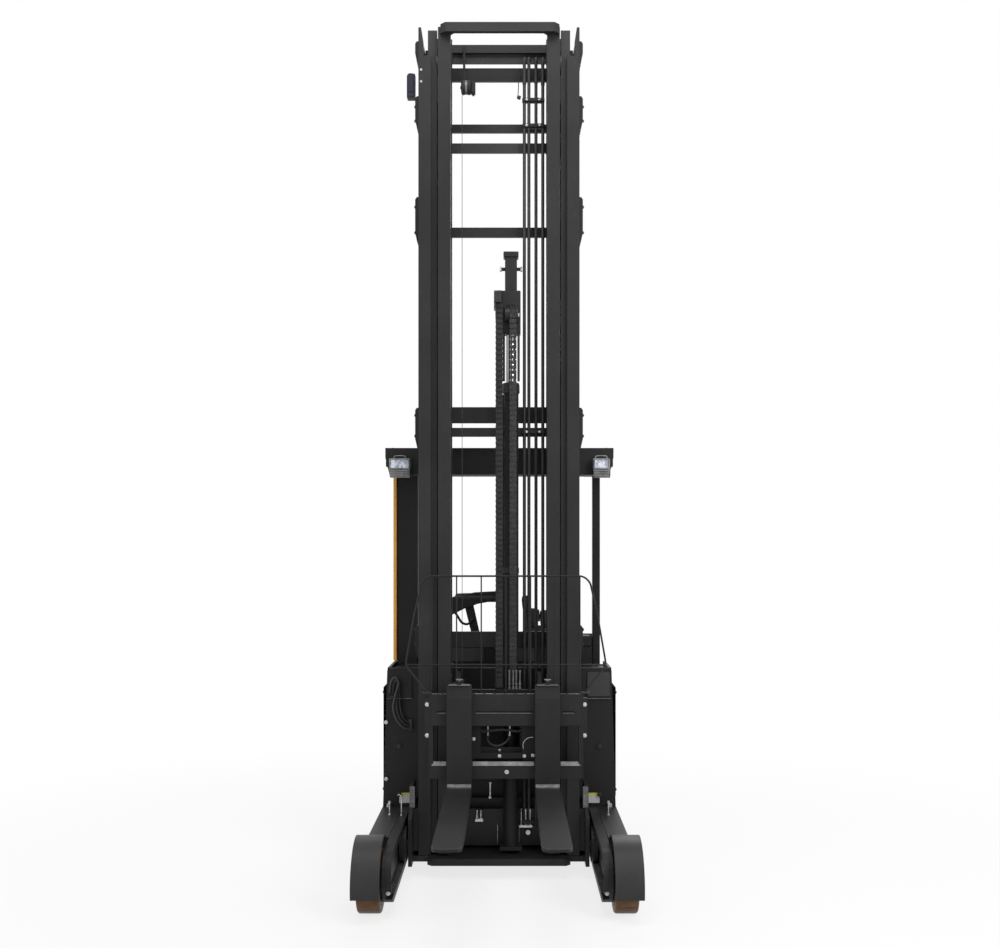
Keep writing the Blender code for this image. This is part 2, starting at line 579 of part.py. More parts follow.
# Operator's compartment
def compartment():
    wall = 0.015
    seat_x0 = -BODY_HALF + 0.018
    seat_y0 = PILLAR_Y1 + 0.040
    shell = box((seat_x0, 0.030), (seat_y0, CAB_Y1 - TOUCH), (0.4303, SEAT_Z - 0.100))
    hollow = box((seat_x0 + wall, 0.030 - wall), (seat_y0 + wall, CAB_Y1 - wall), (0.40, SEAT_Z - 0.115))
    node("seat_box", "black_plastic", "chassis", [shell], [hollow])
    node("seat_cushion", "seat_cloth", "chassis",
         [box((seat_x0 + 0.145, 0.040), (seat_y0 + 0.040, CAB_Y1 - 0.025),
              (SEAT_Z - 0.100 + TOUCH, SEAT_Z), 0.022)])
    # from the seat box's outer side, from the seat's underside
    rest = [(0.140, 0.065), (0.127, 0.200), (0.113, 0.380), (0.091, 0.510), (0.070, 0.542),
            (0.037, 0.542), (0.018, 0.520), (0.030, TOUCH), (0.140, TOUCH)]
    back = outline("xz", [(seat_x0 + u, SEAT_Z - 0.100 + v) for u, v in rest],
                   seat_y0 + 0.060, CAB_Y1 - 0.045)
    node("seat_back", "seat_cloth", "chassis", [back])
    dash = box((DASH_X0, DASH_X1), (CAB_Y0, DASH_Y1), (BEAM_Z1 + TOUCH, DASH_TOP - 0.050), 0.006)
    top = box((DASH_X0 - 0.005, DASH_X1 + 0.004), (CAB_Y0 - 0.006, DASH_Y1 + 0.033),
              (DASH_TOP - 0.065, DASH_TOP), 0.012)
    rest = [(-0.290, 1.268), (-0.278, 1.352), (-0.140, 1.384), (0.000, 1.392), (0.012, 1.380),
            (0.010, 1.345), (-0.120, 1.322), (-0.190, 1.298), (-0.262, 1.262)]
    arm = [outline("xz", rest, 0.690, 0.750),
           outline("xz", [(-0.150, DASH_TOP - 0.020), (-0.105, DASH_TOP - 0.020), (-0.150, 1.330),
                          (-0.195, 1.310)], 0.705, 0.735)]
    sticks = []
    # lever: x, foot of its grip, top of its grip
    for stick_x, grip0, grip1 in ((0.145, 1.285, 1.360), (0.205, 1.225, 1.290), (0.260, 1.195, 1.250)):
        sticks.append(rod((stick_x, 0.705, DASH_TOP - 0.010), (stick_x, 0.705, grip0 + 0.005), 0.006, 8))
        sticks.append(rod((stick_x, 0.705, grip0), (stick_x, 0.705, grip1), 0.016, 12, 0.012))
    node("dash", "black_plastic", "chassis", [dash, top, *arm, *sticks])
    console_z1 = WHEEL_MID_Z - 0.075
    console = box((0.098, 0.440), (CONSOLE_Y0, CAB_Y1 - TOUCH), (FLOOR_Z + TOUCH, console_z1), 0.010)
    mid = (WHEEL_MID_X, WHEEL_MID_Y)
    column = rod((*mid, console_z1 - 0.025), (*mid, WHEEL_MID_Z - 0.0205), 0.024, 20)
    node("steering_console", "black_plastic", "chassis", [console, column])
    rim = turned([(0.112 + 0.011 * math.cos(math.tau * i / 6), 0.011 * math.sin(math.tau * i / 6))
                  for i in range(6)], (*mid, WHEEL_MID_Z), "Z", 24)
    disc = rod((*mid, WHEEL_MID_Z - 0.020), (*mid, WHEEL_MID_Z - 0.002), 0.108, 24)
    knob_y = WHEEL_MID_Y + 0.095
    knob = rod((WHEEL_MID_X, knob_y, WHEEL_MID_Z), (WHEEL_MID_X, knob_y, WHEEL_MID_Z + 0.040), 0.014, 12)
    node("steering_wheel", "black_plastic", "steering_wheel", [rim, disc, knob])
    plate = outline("xz", [(0.560, 0.3603), (0.560, 0.440), (0.545, 0.440), (0.430, 0.3803),
                           (0.430, 0.3603)], 0.780, 1.020)
    pads = []
    for pad_y in (0.810, 0.880, 0.950):
        pads.append(box((0.470, 0.520), (pad_y, pad_y + 0.045), (0.380, 0.435), 0.004))
    node("pedals", "black_plastic", "chassis", [plate, *pads])
    hood = box((-HOOD_HALF, HOOD_HALF), (CAB_Y1 + 0.0253, REAR_Y), (0.100, HOOD_Z1), 0.010)
    sill = box((-HOOD_HALF + 0.005, HOOD_HALF - 0.005), (CAB_Y1 + TOUCH, REAR_Y - 0.01),
               (BEAM_Z1 + 0.0005, HOOD_Z1 - 0.010))
    vents = [box((-0.260, 0.260), (REAR_Y - 0.006, REAR_Y + 0.01), (z, z + 0.022))
             for z in (0.700, 0.745, 0.790, 0.835)]
    node("rear_hood", "body_paint", "chassis", [sill, hood], vents)


compartment()


# Overhead guard
def overhead_guard():
    z0, z1 = ROOF_BARS_Z0, ROOF_Z1 - 0.020
    beam_in = ROOF_HALF - 0.095
    front = [(-ROOF_HALF + ROOF_CORNER, ROOF_Z0), (ROOF_HALF - ROOF_CORNER, ROOF_Z0),
             (ROOF_HALF, ROOF_Z1 - 0.050), (ROOF_HALF, ROOF_Z1), (-ROOF_HALF, ROOF_Z1),
             (-ROOF_HALF, ROOF_Z1 - 0.050)]
    solids = [outline("xz", front, ROOF_Y0, ROOF_Y0 + 0.060)]
    for side in (-1.0, 1.0):
        solids.append(box(sided(side, beam_in, ROOF_HALF - 0.001),
                          (ROOF_Y0 + 0.02, REAR_Y - 0.005), (z0, z1)))
    rear_bar = CAB_Y1 - 0.020
    solids.append(box((-beam_in - 0.05, beam_in + 0.05), (rear_bar, REAR_Y - 0.006),
                      (z0 + 0.001, z1 - 0.001)))
    first, count = ROOF_Y0 + 0.160, 6
    for i in range(count):
        slat_y = first + (rear_bar - 0.065 - first) * i / (count - 1)
        solids.append(box((-beam_in - 0.05, beam_in + 0.05), (slat_y - 0.012, slat_y + 0.012),
                          (z0 + 0.020, z1 - 0.010)))
    node("overhead_guard", "body_paint", "chassis", solids)
    rear_out = BODY_HALF + 0.002
    rear_in = BODY_HALF - 0.038
    # pillar: side word, x from, x to, y from, y to, foot
    for word, x0, x1, y0, y1, foot in (
            ("front_left", -BODY_HALF + 0.020, -BODY_HALF + 0.134, CAB_Y0, PILLAR_Y1, BEAM_Z1 + TOUCH),
            ("front_right", BODY_HALF - 0.075, BODY_HALF - 0.035, CAB_Y0, PILLAR_Y1, BEAM_Z1 + TOUCH),
            ("rear_left", -rear_out, -rear_in, CAB_Y1 - 0.015, REAR_Y - 0.011, HOOD_Z1 + TOUCH),
            ("rear_right", rear_in, rear_out, CAB_Y1 - 0.015, REAR_Y - 0.011, HOOD_Z1 + TOUCH)):
        node("pillar_" + word, "body_paint", "chassis",
             [box((x0, x1), (y0, y1), (foot, z0 - TOUCH), 0.004)])
    node("pillar_trim", "orange_paint", "chassis",
         [box((-BODY_HALF + 0.0015, -BODY_HALF + 0.020 - TOUCH), (0.645, PILLAR_Y1 + 0.005),
              (BODY_Z1 + 0.010, z0 - 0.005), 0.003)])
    for word, side in SIDES:
        lamp = box(sided(side, 0.457, 0.572), (0.285, 0.335), (1.992, 2.092), 0.006)
        neck = box(sided(side, 0.495, 0.535), (0.325, ROOF_Y0 - TOUCH), (2.050, 2.110))
        hook = box(sided(side, 0.480, 0.550), (0.296, 0.330), (2.088, 2.104))
        lens = box(sided(side, 0.466, 0.563), (0.270, 0.289), (2.038, 2.085))
        slots = [box(sided(side, 0.466, 0.563), (0.270, 0.291), (z, z + 0.006))
                 for z in (2.000, 2.014, 2.026)]
        node("work_light_" + word, "lamp_silver", "chassis", [lamp, neck, hook], [lens, *slots])


overhead_guard()


# Reach carriage
def reach_carriage():
    y0, y1 = -0.005, 0.318
    wide, nose = MAST_HALF - 0.049, MAST_HALF - 0.071
    front = [(-wide, 0.082), (-wide, 0.020), (-nose, y0 + 0.001), (nose, y0 + 0.001), (wide, 0.020),
             (wide, 0.082)]
    solids = [box((-REACH_IN, REACH_IN), (0.078, y1), (REACH_Z0 + 0.008, REACH_FLOOR)),
              outline("xy", front, REACH_Z0 + 0.0085, REACH_FLOOR - 0.0005),
              box((0.004 - nose, nose - 0.004), (y0, y0 + 0.020), (REACH_Z0 + 0.009, REACH_FLOOR + 0.007))]
    for side in (-1.0, 1.0):
        cheek = [(0.000, 0.065), (0.340, 0.065), (0.340, 0.340), (0.240, 0.340), (0.240, 0.450),
                 (0.090, 0.450), (0.090, 0.340), (0.000, 0.300)]
        solids.append(outline("yz", cheek, *sided(side, REACH_IN - 0.001, REACH_OUT)))
        solids.append(box(sided(side, OUTER["x1"] + TOUCH, REACH_IN), (0.092, 0.238), (0.120, 0.330)))
        for ry in REACH_ROLLER_YS:
            z = REACH_ROLLER_Z
            x0, x1 = REACH_OUT + 0.007, ARM_WEB - 0.006
            solids.append(rod((side * (REACH_IN + 0.004), ry, z), (side * (x0 + 0.008), ry, z), 0.022, 12))
            solids.append(rod((side * x0, ry, z), (side * x1, ry, z), REACH_ROLLER_R, 24))
    rear = MIDDLE["x0"] + 0.001
    solids.append(box((-rear, rear), (0.290, 0.312), (REACH_Z0 + 0.012, 0.340)))
    node("reach_carriage", "mast_paint", "reach", solids)


reach_carriage()


# Mast stages
def outer_mast():
    solids = [channel(OUTER, -1.0), channel(OUTER, 1.0)]
    # tie: bar z from, bar z to, ear z from, ear z to
    top = MAST_TOP
    tie_x = OUTER["x0"] + 0.006
    for b0, b1, e0, e1 in ((top - 0.204, top - 0.136, top - 0.162, top - 0.057),
                           (top - 0.466, top - 0.424, top - 0.497, top - 0.332),
                           (3.220, 3.270, 3.160, 3.385), (2.268, 2.350, 2.130, 2.330),
                           (1.120, 1.200, 1.080, 1.240), (0.130, 0.280, 0.350, 0.450)):
        solids.append(box((-tie_x, tie_x), (OUTER_TIE_Y[0] + 0.016, OUTER_TIE_Y[1]), (b0, b1)))
        for side in (-1.0, 1.0):
            solids.append(box(sided(side, OUTER["x0"], tie_x + 0.005), OUTER_TIE_Y, (b0, b1)))
            if e0 > 0.4 or e0 < 0.3:
                root = MAST_HALF - 0.003
                ear = [(side * root, e0), (side * (EAR_X - 0.010), e0), (side * EAR_X, e0 + 0.045),
                       (side * EAR_X, e1 - 0.012), (side * (EAR_X - 0.008), e1), (side * root, e1)]
                solids.append(outline("xz", ear, 0.122, 0.243))
    for side in (-1.0, 1.0):
        for pad_y in (0.107, 0.203):
            solids.append(box(sided(side, MIDDLE["x1"] + 0.0005, OUTER["x1"] - 0.016),
                              (pad_y, pad_y + 0.020), (top - 0.372, top - 0.232)))
    cuts = []
    for side in (-1.0, 1.0):
        for low, wide, y0, y1 in ((NOTCH_Z, FINGER_X - 0.002, 0.07, 0.150),
                                  (NOTCH_BACK_Z, FINGER_X, 0.148, 0.29)):
            notch = [(OUTER["x0"] - 0.009, low), (wide, low), (FINGER_X, NOTCH_BACK_Z + 0.001),
                     (FINGER_X + 0.013, top + 0.01), (OUTER["x0"] - 0.009, top + 0.01)]
            cuts.append(outline("xz", [(side * x, z) for x, z in notch], y0, y1))
    node("outer_mast", "mast_paint", "reach", solids, cuts)


def middle_mast():
    solids = beam(MIDDLE, -1.0)
    top, inside = MAST_TOP, MIDDLE["x0"]
    for b0, b1 in ((top - 0.120, top - 0.066), (top - 0.577, top - 0.527), (0.115, 0.250)):
        solids.append(box((-inside - 0.024, inside + 0.024), MIDDLE_TIE_Y, (b0, b1)))
        for side in (-1.0, 1.0):
            solids.append(box(sided(side, inside + 0.003, inside + 0.023), (0.210, 0.249),
                              (b0 + 0.001, b1 - 0.001)))
    for side in (-1.0, 1.0):
        solids.append(box(sided(side, inside + 0.005, inside + 0.022), (0.242, 0.300),
                          (top - 0.118, top - 0.078)))
        solids.append(box(sided(side, inside + 0.001, RAM_X + 0.030), (RAM_Y - 0.027, RAM_Y + 0.029),
                          (ROD_TOP, top - 0.072)))
    solids.extend(beam(MIDDLE, 1.0))
    for side in (-1.0, 1.0):
        for pad_y in (0.1125, 0.2065):
            solids.append(box(sided(side, INNER["x1"] + 0.0005, inside + 0.002), (pad_y, pad_y + 0.011),
                              (top - 0.372, top - 0.232)))
    cuts = []
    for side in (-1.0, 1.0):
        cuts.append(box(sided(side, FINGER_X - 0.021, MAST_HALF), (0.09, 0.150),
                        (NOTCH_Z - 0.003, top + 0.01)))
        cuts.append(box(sided(side, FINGER_X - 0.020, MAST_HALF), (0.15, 0.23), (top - 0.067, top + 0.01)))
    node("middle_mast", "mast_paint", "middle_mast", solids, cuts)
    for word, side in SIDES:
        x = side * RAM_X
        node("lift_rod_" + word, "chrome", "middle_mast",
             [rod((x, RAM_Y, 0.200), (x, RAM_Y, ROD_TOP - TOUCH), RAM_ROD, 20)])


def lift_barrels():
    for word, side in SIDES:
        x = side * RAM_X
        z0 = REACH_FLOOR + TOUCH
        wall = [(RAM_R, z0), (RAM_R, RAM_TOP - 0.004), (RAM_R - 0.003, RAM_TOP), (RAM_BORE, RAM_TOP),
                (RAM_BORE, z0)]
        tube = turned([(r, z) for r, z in reversed(wall)], (x, RAM_Y, 0.0), "Z", 20)
        node("lift_barrel_" + word, "dark_steel", "reach", [tube])


def inner_mast():
    solids = [channel(INNER, -1.0), channel(INNER, 1.0)]
    x0, x1 = INNER["x0"], INNER["x1"]
    front = (0.035, 0.060)
    bent = [(0.013 - x1, front[1]), (0.038 - x1, front[0]), (x1 - 0.028, front[0]), (x1 - 0.003, front[1]),
            (x1 - 0.003, 0.085), (x0 + 0.003, 0.084), (x0 - 0.017, front[1] + 0.0005),
            (0.017 - x0, front[1]), (-x0 - 0.003, 0.0835), (0.013 - x1, 0.0845)]
    solids.append(outline("xy", bent, TOP_BAR_Z0, MAST_TOP))
    for b0, b1 in ((0.115, 0.300), (2.195, 2.240), (MAST_TOP - 0.074, MAST_TOP - 0.033)):
        solids.append(box((0.008 - x1, x1 - 0.008), (INNER_TIE_Y, INNER["y1"] - 0.0002), (b0, b1)))
    solids.append(box((0.005, 0.115), (0.105, 0.220), (0.116, 0.136)))
    node("inner_mast", "mast_paint", "inner_mast", solids)


outer_mast()
middle_mast()
lift_barrels()
inner_mast()


# Free-lift cylinder, crosshead and chains
def linked(x, z0, z1, pitch, waist):
    """Outline of a run of links: full at each pin, drawn in by the waist between them."""
    count = int((z1 - z0) / pitch)
    step = (z1 - z0) / count
    right = []
    for i in range(count):
        z = z0 + i * step
        right += [(x[1], z), (x[1], z + step * 0.52),
                  (x[1] - waist, z + step * 0.60), (x[1] - waist, z + step * 0.92)]
    right.append((x[1], z1))
    left = [(x[0] + x[1] - u, v) for u, v in reversed(right)]
    return right + left


def free_lift():
    z0 = 0.136 + TOUCH
    wall = [(FREE_BORE, z0), (FREE_BORE, FREE_TOP), (FREE_R - 0.004, FREE_TOP),
            (FREE_R, FREE_TOP - 0.005), (FREE_R, z0)]
    tube = turned(wall, (FREE_X, FREE_Y, 0.0), "Z", 28)
    node("free_lift_barrel", "dark_steel", "inner_mast", [tube])
    node("free_lift_rod", "chrome", "crosshead",
         [rod((FREE_X, FREE_Y, 0.380), (FREE_X, FREE_Y, HEAD_Z - TOUCH), FREE_ROD, 24)])
    z = HEAD_Z
    chain_y = CHAIN_Y[1] + TOUCH + 0.038
    track_y = TRACK_Y[1] + TOUCH + 0.055
    head = [box((0.012, 0.108), (0.110, 0.190), (z, z + 0.215), 0.004),
            box((0.030, 0.090), (0.122, 0.178), (z + 0.205, z + 0.395), 0.003),
            box((0.022, 0.098), (0.116, 0.184), (z + 0.385, z + 0.412), 0.003),
            rod((0.012, 0.150, z + 0.330), (0.110, 0.150, z + 0.330), 0.009, 14),
            rod((0.030, chain_y, CHAIN_TOP), (0.090, chain_y, CHAIN_TOP), 0.038, 24)]
    wheel = rod((-0.018, track_y, TRACK_TOP), (0.0115, track_y, TRACK_TOP), 0.055, 20)
    pin = rod((-0.008, 0.140, TRACK_TOP), (0.030, 0.140, TRACK_TOP), 0.012, 10)
    node("crosshead", "mast_paint", "crosshead", [*head, wheel, pin])
    strand = outline("xz", linked(CHAIN_X, CARR_Z1 + 0.060, CHAIN_TOP, LINK_PITCH, 0.0045), *CHAIN_Y)
    node("lift_chain", "dark_steel", "crosshead", [strand])
    track = outline("xz", linked(TRACK_X, CARR_Z1 + 0.040, TRACK_TOP, LINK_PITCH, 0.0040), *TRACK_Y)
    node("hose_track", "black_plastic", "crosshead", [track])


def mast_hoses():
    solids = []
    for hose_x, hose_r in ((0.128, 0.008), (0.151, 0.008), (0.187, 0.0085), (0.2215, 0.0085)):
        solids.append(rod((hose_x, 0.203, 0.210), (hose_x, 0.203, MAST_TOP - 0.102), hose_r, 8))
    for clamp_z in (0.240, 2.217, MAST_TOP - 0.452, MAST_TOP - 0.322):
        solids.append(box((0.117, 0.2305), (0.196, INNER_TIE_Y - TOUCH), (clamp_z - 0.012, clamp_z + 0.012)))
    node("mast_hoses", "rubber_hose", "inner_mast", solids)


def height_wire():
    z = MAST_TOP - 0.290
    drum = rod((-0.190, 0.122, z), (-0.138, 0.122, z), 0.036, 20)
    case = box((-0.140, -0.118), (0.100, 0.146), (z - 0.036, z + 0.030))
    arm = box((-0.178, -0.160), (0.122, 0.214), (z + 0.020, z + 0.034))
    hanger = box((-0.184, -0.172), (0.206, INNER_TIE_Y - TOUCH), (z + 0.022, z + 0.248))
    node("wire_pulley", "black_plastic", "inner_mast", [drum, case, arm, hanger])
    node("wire_strand", "dark_steel", "inner_mast",
         [rod((-0.183, 0.0838, 1.000), (-0.183, 0.0838, z), 0.002, 8)])


free_lift()
mast_hoses()
height_wire()
node("sensor_box", "black_plastic", "reach",
     [box((-EAR_X - 0.0425, -EAR_X - TOUCH), (0.126, 0.176),
          (MAST_TOP - 0.377, MAST_TOP - 0.262), 0.004)])


# Lift carriage with its rollers, the tilt frame and the fork carriage
def lift_carriage():
    solids = []
    front, back = LIFT_FRONT_Y, 0.185
    x0 = INNER["x0"]
    for side in (-1.0, 1.0):
        cheek = [(front, CARR_Z0), (0.120, CARR_Z0), (back, 0.560), (back, 0.990), (0.120, 1.010),
                 (front, 0.960)]
        solids.append(outline("yz", cheek, *sided(side, x0 - 0.047, x0 - 0.027)))
        for roller_z in (0.600, 0.930):
            solids.append(rod((side * (x0 - 0.034), 0.154, roller_z), (side * (x0 + 0.001), 0.154, roller_z),
                              0.020, 12))
            solids.append(rod((side * (x0 - 0.0025), 0.154, roller_z), (side * (x0 + 0.042), 0.154, roller_z),
                              0.0625, 20))
    solids.append(box((0.039 - x0, x0 - 0.039), (front, front + 0.022), (0.530, 0.610)))
    solids.append(box((0.039 - x0, x0 - 0.039), (front, front + 0.022), (0.800, 0.930)))
    for ear_x in (-0.170, 0.170):
        solids.append(box((ear_x - 0.012, ear_x + 0.012), (0.002, front + 0.004), (0.515, 0.570)))
        solids.append(rod((ear_x - 0.034, TILT_PIN_Y, TILT_PIN_Z), (ear_x + 0.034, TILT_PIN_Y, TILT_PIN_Z),
                          0.008, 12))
    node("lift_carriage", "mast_paint", "lift_carriage", solids)


def tilt_frame():
    window = [(-0.088, 0.628), (0.112, 0.628), (0.112, 0.735), (0.085, 0.790), (-0.060, 0.790),
              (-0.088, 0.760)]
    solids = [box((-0.229, 0.229), (TILT_Y0 + 0.0005, TILT_Y1 - 0.0005), (0.600, 0.830)),
              box((-0.230, -0.120), (TILT_Y0, TILT_Y1), (0.516, 0.606)),
              box((0.120, 0.230), (TILT_Y0, TILT_Y1), (0.516, 0.606)),
              box((-0.230, -0.150), (TILT_Y0, TILT_Y1), (0.824, 0.900)),
              box((0.150, 0.230), (TILT_Y0, TILT_Y1), (0.824, 0.900))]
    for pad_x in (-0.205, 0.205):
        for pad_z in (0.555, 0.865):
            solids.append(box((pad_x - 0.020, pad_x + 0.020), (CARR_Y1 + 0.0005, TILT_Y0 + 0.001),
                              (pad_z - 0.015, pad_z + 0.015)))
    cuts = [outline("xz", window, TILT_Y0 - 0.01, TILT_Y1 + 0.01)]
    for ear_x in (-0.170, 0.170):
        for shift in (-0.026, 0.026):
            x = ear_x + shift
            solids.append(box((x - 0.007, x + 0.007), (TILT_Y1 - 0.004, 0.026), (0.522, 0.558)))
            cuts.append(rod((x - 0.010, TILT_PIN_Y, TILT_PIN_Z), (x + 0.010, TILT_PIN_Y, TILT_PIN_Z),
                            0.008 + PIN_FIT, 16))
        cuts.append(box((ear_x - 0.018, ear_x + 0.018), (TILT_Y1 - 0.010, 0.03), (0.50, 0.585)))
    node("tilt_frame", "mast_paint", "fork_tilt", solids, cuts)


def fork_carriage():
    x0, x1 = LOAD_X - CARR_HALF, LOAD_X + CARR_HALF
    solids = [box((x0, x1), (CARR_Y0, CARR_Y1), (0.764, CARR_Z1), 0.003),
              outline("yz", [(CARR_Y0, CARR_Z0), (CARR_Y1, CARR_Z0), (CARR_Y1, 0.590),
                             (CARR_Y0 + 0.012, 0.590), (CARR_Y0, 0.572)], x0, x1),
              box((x0 - 0.010, x0 + 0.012), (CARR_Y0 + 0.004, CARR_Y1 + 0.010), (CARR_Z0, CARR_Z1)),
              box((x1 - 0.012, x1 + 0.010), (CARR_Y0 + 0.004, CARR_Y1 + 0.010), (CARR_Z0, CARR_Z1)),
              box((x0 - 0.030, x0 + 0.008), (CARR_Y0 + 0.006, CARR_Y1 + 0.008), (0.705, 0.900)),
              box((x1 - 0.008, x1 + 0.030), (CARR_Y0 + 0.006, CARR_Y1 + 0.008), (0.705, 0.900))]
    grooves = [box((a, b), (CARR_Y0 - 0.01, CARR_Y0 + 0.005), (0.829, 0.838))
               for a, b in ((x0 + 0.030, x0 + 0.075), (-0.115, 0.165), (x1 - 0.090, x1 - 0.035))]
    node("fork_carriage", "mast_paint", "side_shift", solids, grooves)


def load_guard():
    r = GUARD_WIRE
    # height, half width
    path = ((CARR_Z1 + r + TOUCH, 0.384), (1.058, 0.488), (1.300, 0.446), (1.460, 0.410),
            (GUARD_TOP - r, 0.378))
    left = [(LOAD_X - w, GUARD_Y, z) for z, w in path]
    right = [(LOAD_X + w, GUARD_Y, z) for z, w in reversed(path)]
    solids = [wire(left + right, r, 1)]
    solids.append(rod((LOAD_X - 0.487, GUARD_Y, 1.060), (LOAD_X + 0.487, GUARD_Y, 1.060), r, 8))
    for step in (-3, -2, -1, 0, 1, 2, 3):
        x = LOAD_X + 0.120 * step
        solids.append(rod((x, GUARD_Y, CARR_Z1 + TOUCH), (x, GUARD_Y, GUARD_TOP - r), r * 0.8, 6))
    node("load_guard", "dark_steel", "side_shift", solids)


def forks():
    for (word, side), x in zip(SIDES, FORK_XS):
        back = FORK_FACE_Y + FORK_T
        low = FORK_BLADE_Z - FORK_T
        ell = [(FORK_TIP_Y, FORK_BLADE_Z - 0.012), (FORK_TIP_Y + 0.35, low), (back - 0.020, low),
               (back, low + 0.020), (back, FORK_TOP_Z), (FORK_FACE_Y + 0.012, FORK_TOP_Z),
               (FORK_FACE_Y, 0.900), (FORK_FACE_Y, FORK_BLADE_Z + 0.012),
               (FORK_FACE_Y - 0.004, FORK_BLADE_Z + 0.004), (FORK_FACE_Y - 0.014, FORK_BLADE_Z),
               (FORK_TIP_Y, FORK_BLADE_Z)]
        bar = outline("yz", ell, x - FORK_W / 2, x + FORK_W / 2)
        hook = box((x - 0.050, x + 0.050), (back - 0.004, back + 0.020), (CARR_Z1 + TOUCH, FORK_TOP_Z))
        heel = box((x - 0.050, x + 0.050), (back - 0.004, back + 0.016), (0.478, CARR_Z0 - TOUCH))
        lock = rod((x, back - 0.016, FORK_TOP_Z - 0.01), (x, back - 0.016, FORK_TOP_Z + 0.020), 0.010, 12)
        cuts = []
        for edge in (-1.0, 1.0):
            half = FORK_W / 2
            tip = [(x + edge * (half - 0.022), FORK_TIP_Y - 0.01),
                   (x + edge * (half + 0.015), FORK_TIP_Y - 0.01),
                   (x + edge * (half + 0.015), FORK_TIP_Y + 0.060),
                   (x + edge * half, FORK_TIP_Y + 0.045),
                   (x + edge * (half - 0.007), FORK_TIP_Y + 0.012)]
            cuts.append(outline("xy", tip, 0.40, 0.50))
        node("fork_" + word, "mast_paint", "side_shift", [bar, hook, heel, lock], cuts)


lift_carriage()
tilt_frame()
fork_carriage()
load_guard()
forks()


for leftover in list(HELPERS.objects):
    bpy.data.objects.remove(leftover, do_unlink=True)
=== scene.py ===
"""Reach truck with a three-stage mast: finishes and small parts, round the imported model.

+X is to the right when the forks are looked at from in front, the forks point to -Y.
"""
import json
import math

import bmesh
import bpy
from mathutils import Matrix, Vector


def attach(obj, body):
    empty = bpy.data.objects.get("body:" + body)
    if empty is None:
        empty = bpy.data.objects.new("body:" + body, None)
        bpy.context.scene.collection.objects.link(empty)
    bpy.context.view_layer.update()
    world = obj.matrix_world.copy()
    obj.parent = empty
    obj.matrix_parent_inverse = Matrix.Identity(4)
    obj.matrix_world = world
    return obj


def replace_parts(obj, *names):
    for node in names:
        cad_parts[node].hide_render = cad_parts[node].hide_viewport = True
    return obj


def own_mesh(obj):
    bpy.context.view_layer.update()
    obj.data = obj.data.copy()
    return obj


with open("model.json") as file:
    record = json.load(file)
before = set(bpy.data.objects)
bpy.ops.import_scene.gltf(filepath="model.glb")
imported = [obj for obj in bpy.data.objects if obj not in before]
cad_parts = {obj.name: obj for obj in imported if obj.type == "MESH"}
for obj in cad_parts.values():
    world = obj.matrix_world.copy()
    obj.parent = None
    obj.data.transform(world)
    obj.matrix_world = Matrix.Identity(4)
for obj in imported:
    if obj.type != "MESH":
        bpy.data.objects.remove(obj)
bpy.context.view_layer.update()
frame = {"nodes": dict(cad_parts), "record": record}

# Camera of the photo
CAMERA_PLACE = (0.05, -5.635, 1.618)
LENS = 41.4
SHIFT = (-0.009, 0.076)

SIDES = (("left", -1.0), ("right", 1.0))
UP = (0, 0, 1)
FRONT = (0, -1, 0)


class Signal:
    """A node's output that takes part in sums."""

    def __init__(self, graph, node, socket):
        self.graph, self.node, self.socket = graph, node, socket

    def out(self, name):
        return Signal(self.graph, self.node, self.node.outputs[name])

    def sum_with(self, operation, other, flipped=False):
        pair = (other, self) if flipped else (self, other)
        return self.graph.add("ShaderNodeMath", {"operation": operation}, dict(enumerate(pair)))

    def __add__(self, other):
        return self.sum_with("ADD", other)

    __radd__ = __add__

    def __sub__(self, other):
        return self.sum_with("SUBTRACT", other)

    def __rsub__(self, other):
        return self.sum_with("SUBTRACT", other, True)

    def __mul__(self, other):
        return self.sum_with("MULTIPLY", other)

    __rmul__ = __mul__

    def __truediv__(self, other):
        return self.sum_with("DIVIDE", other)

    def above(self, low, high):
        """0 below low, 1 above high, smooth between."""
        kind = {"interpolation_type": "SMOOTHSTEP", "clamp": True}
        return self.graph.add("ShaderNodeMapRange", kind, {"Value": self, "From Min": low, "From Max": high})

    def below(self, low, high):
        return 1.0 - self.above(low, high)


class Graph:
    """Nodes of a material or of a form."""

    def __init__(self, tree):
        self.tree = tree
        tree.nodes.clear()

    def add(self, kind, settings=None, values=None):
        """A node: its settings first, then the values or links of its sockets."""
        node = self.tree.nodes.new(kind)
        for key, value in (settings or {}).items():
            setattr(node, key, value)
        live = [s for s in node.inputs if s.enabled]
        for key, value in (values or {}).items():
            socket = live[key] if isinstance(key, int) else next(s for s in live if s.name == key)
            if isinstance(value, Signal):
                self.tree.links.new(value.socket, socket)
            else:
                socket.default_value = value
        shown = [s for s in node.outputs if s.enabled]
        return Signal(self, node, shown[0] if shown else None)


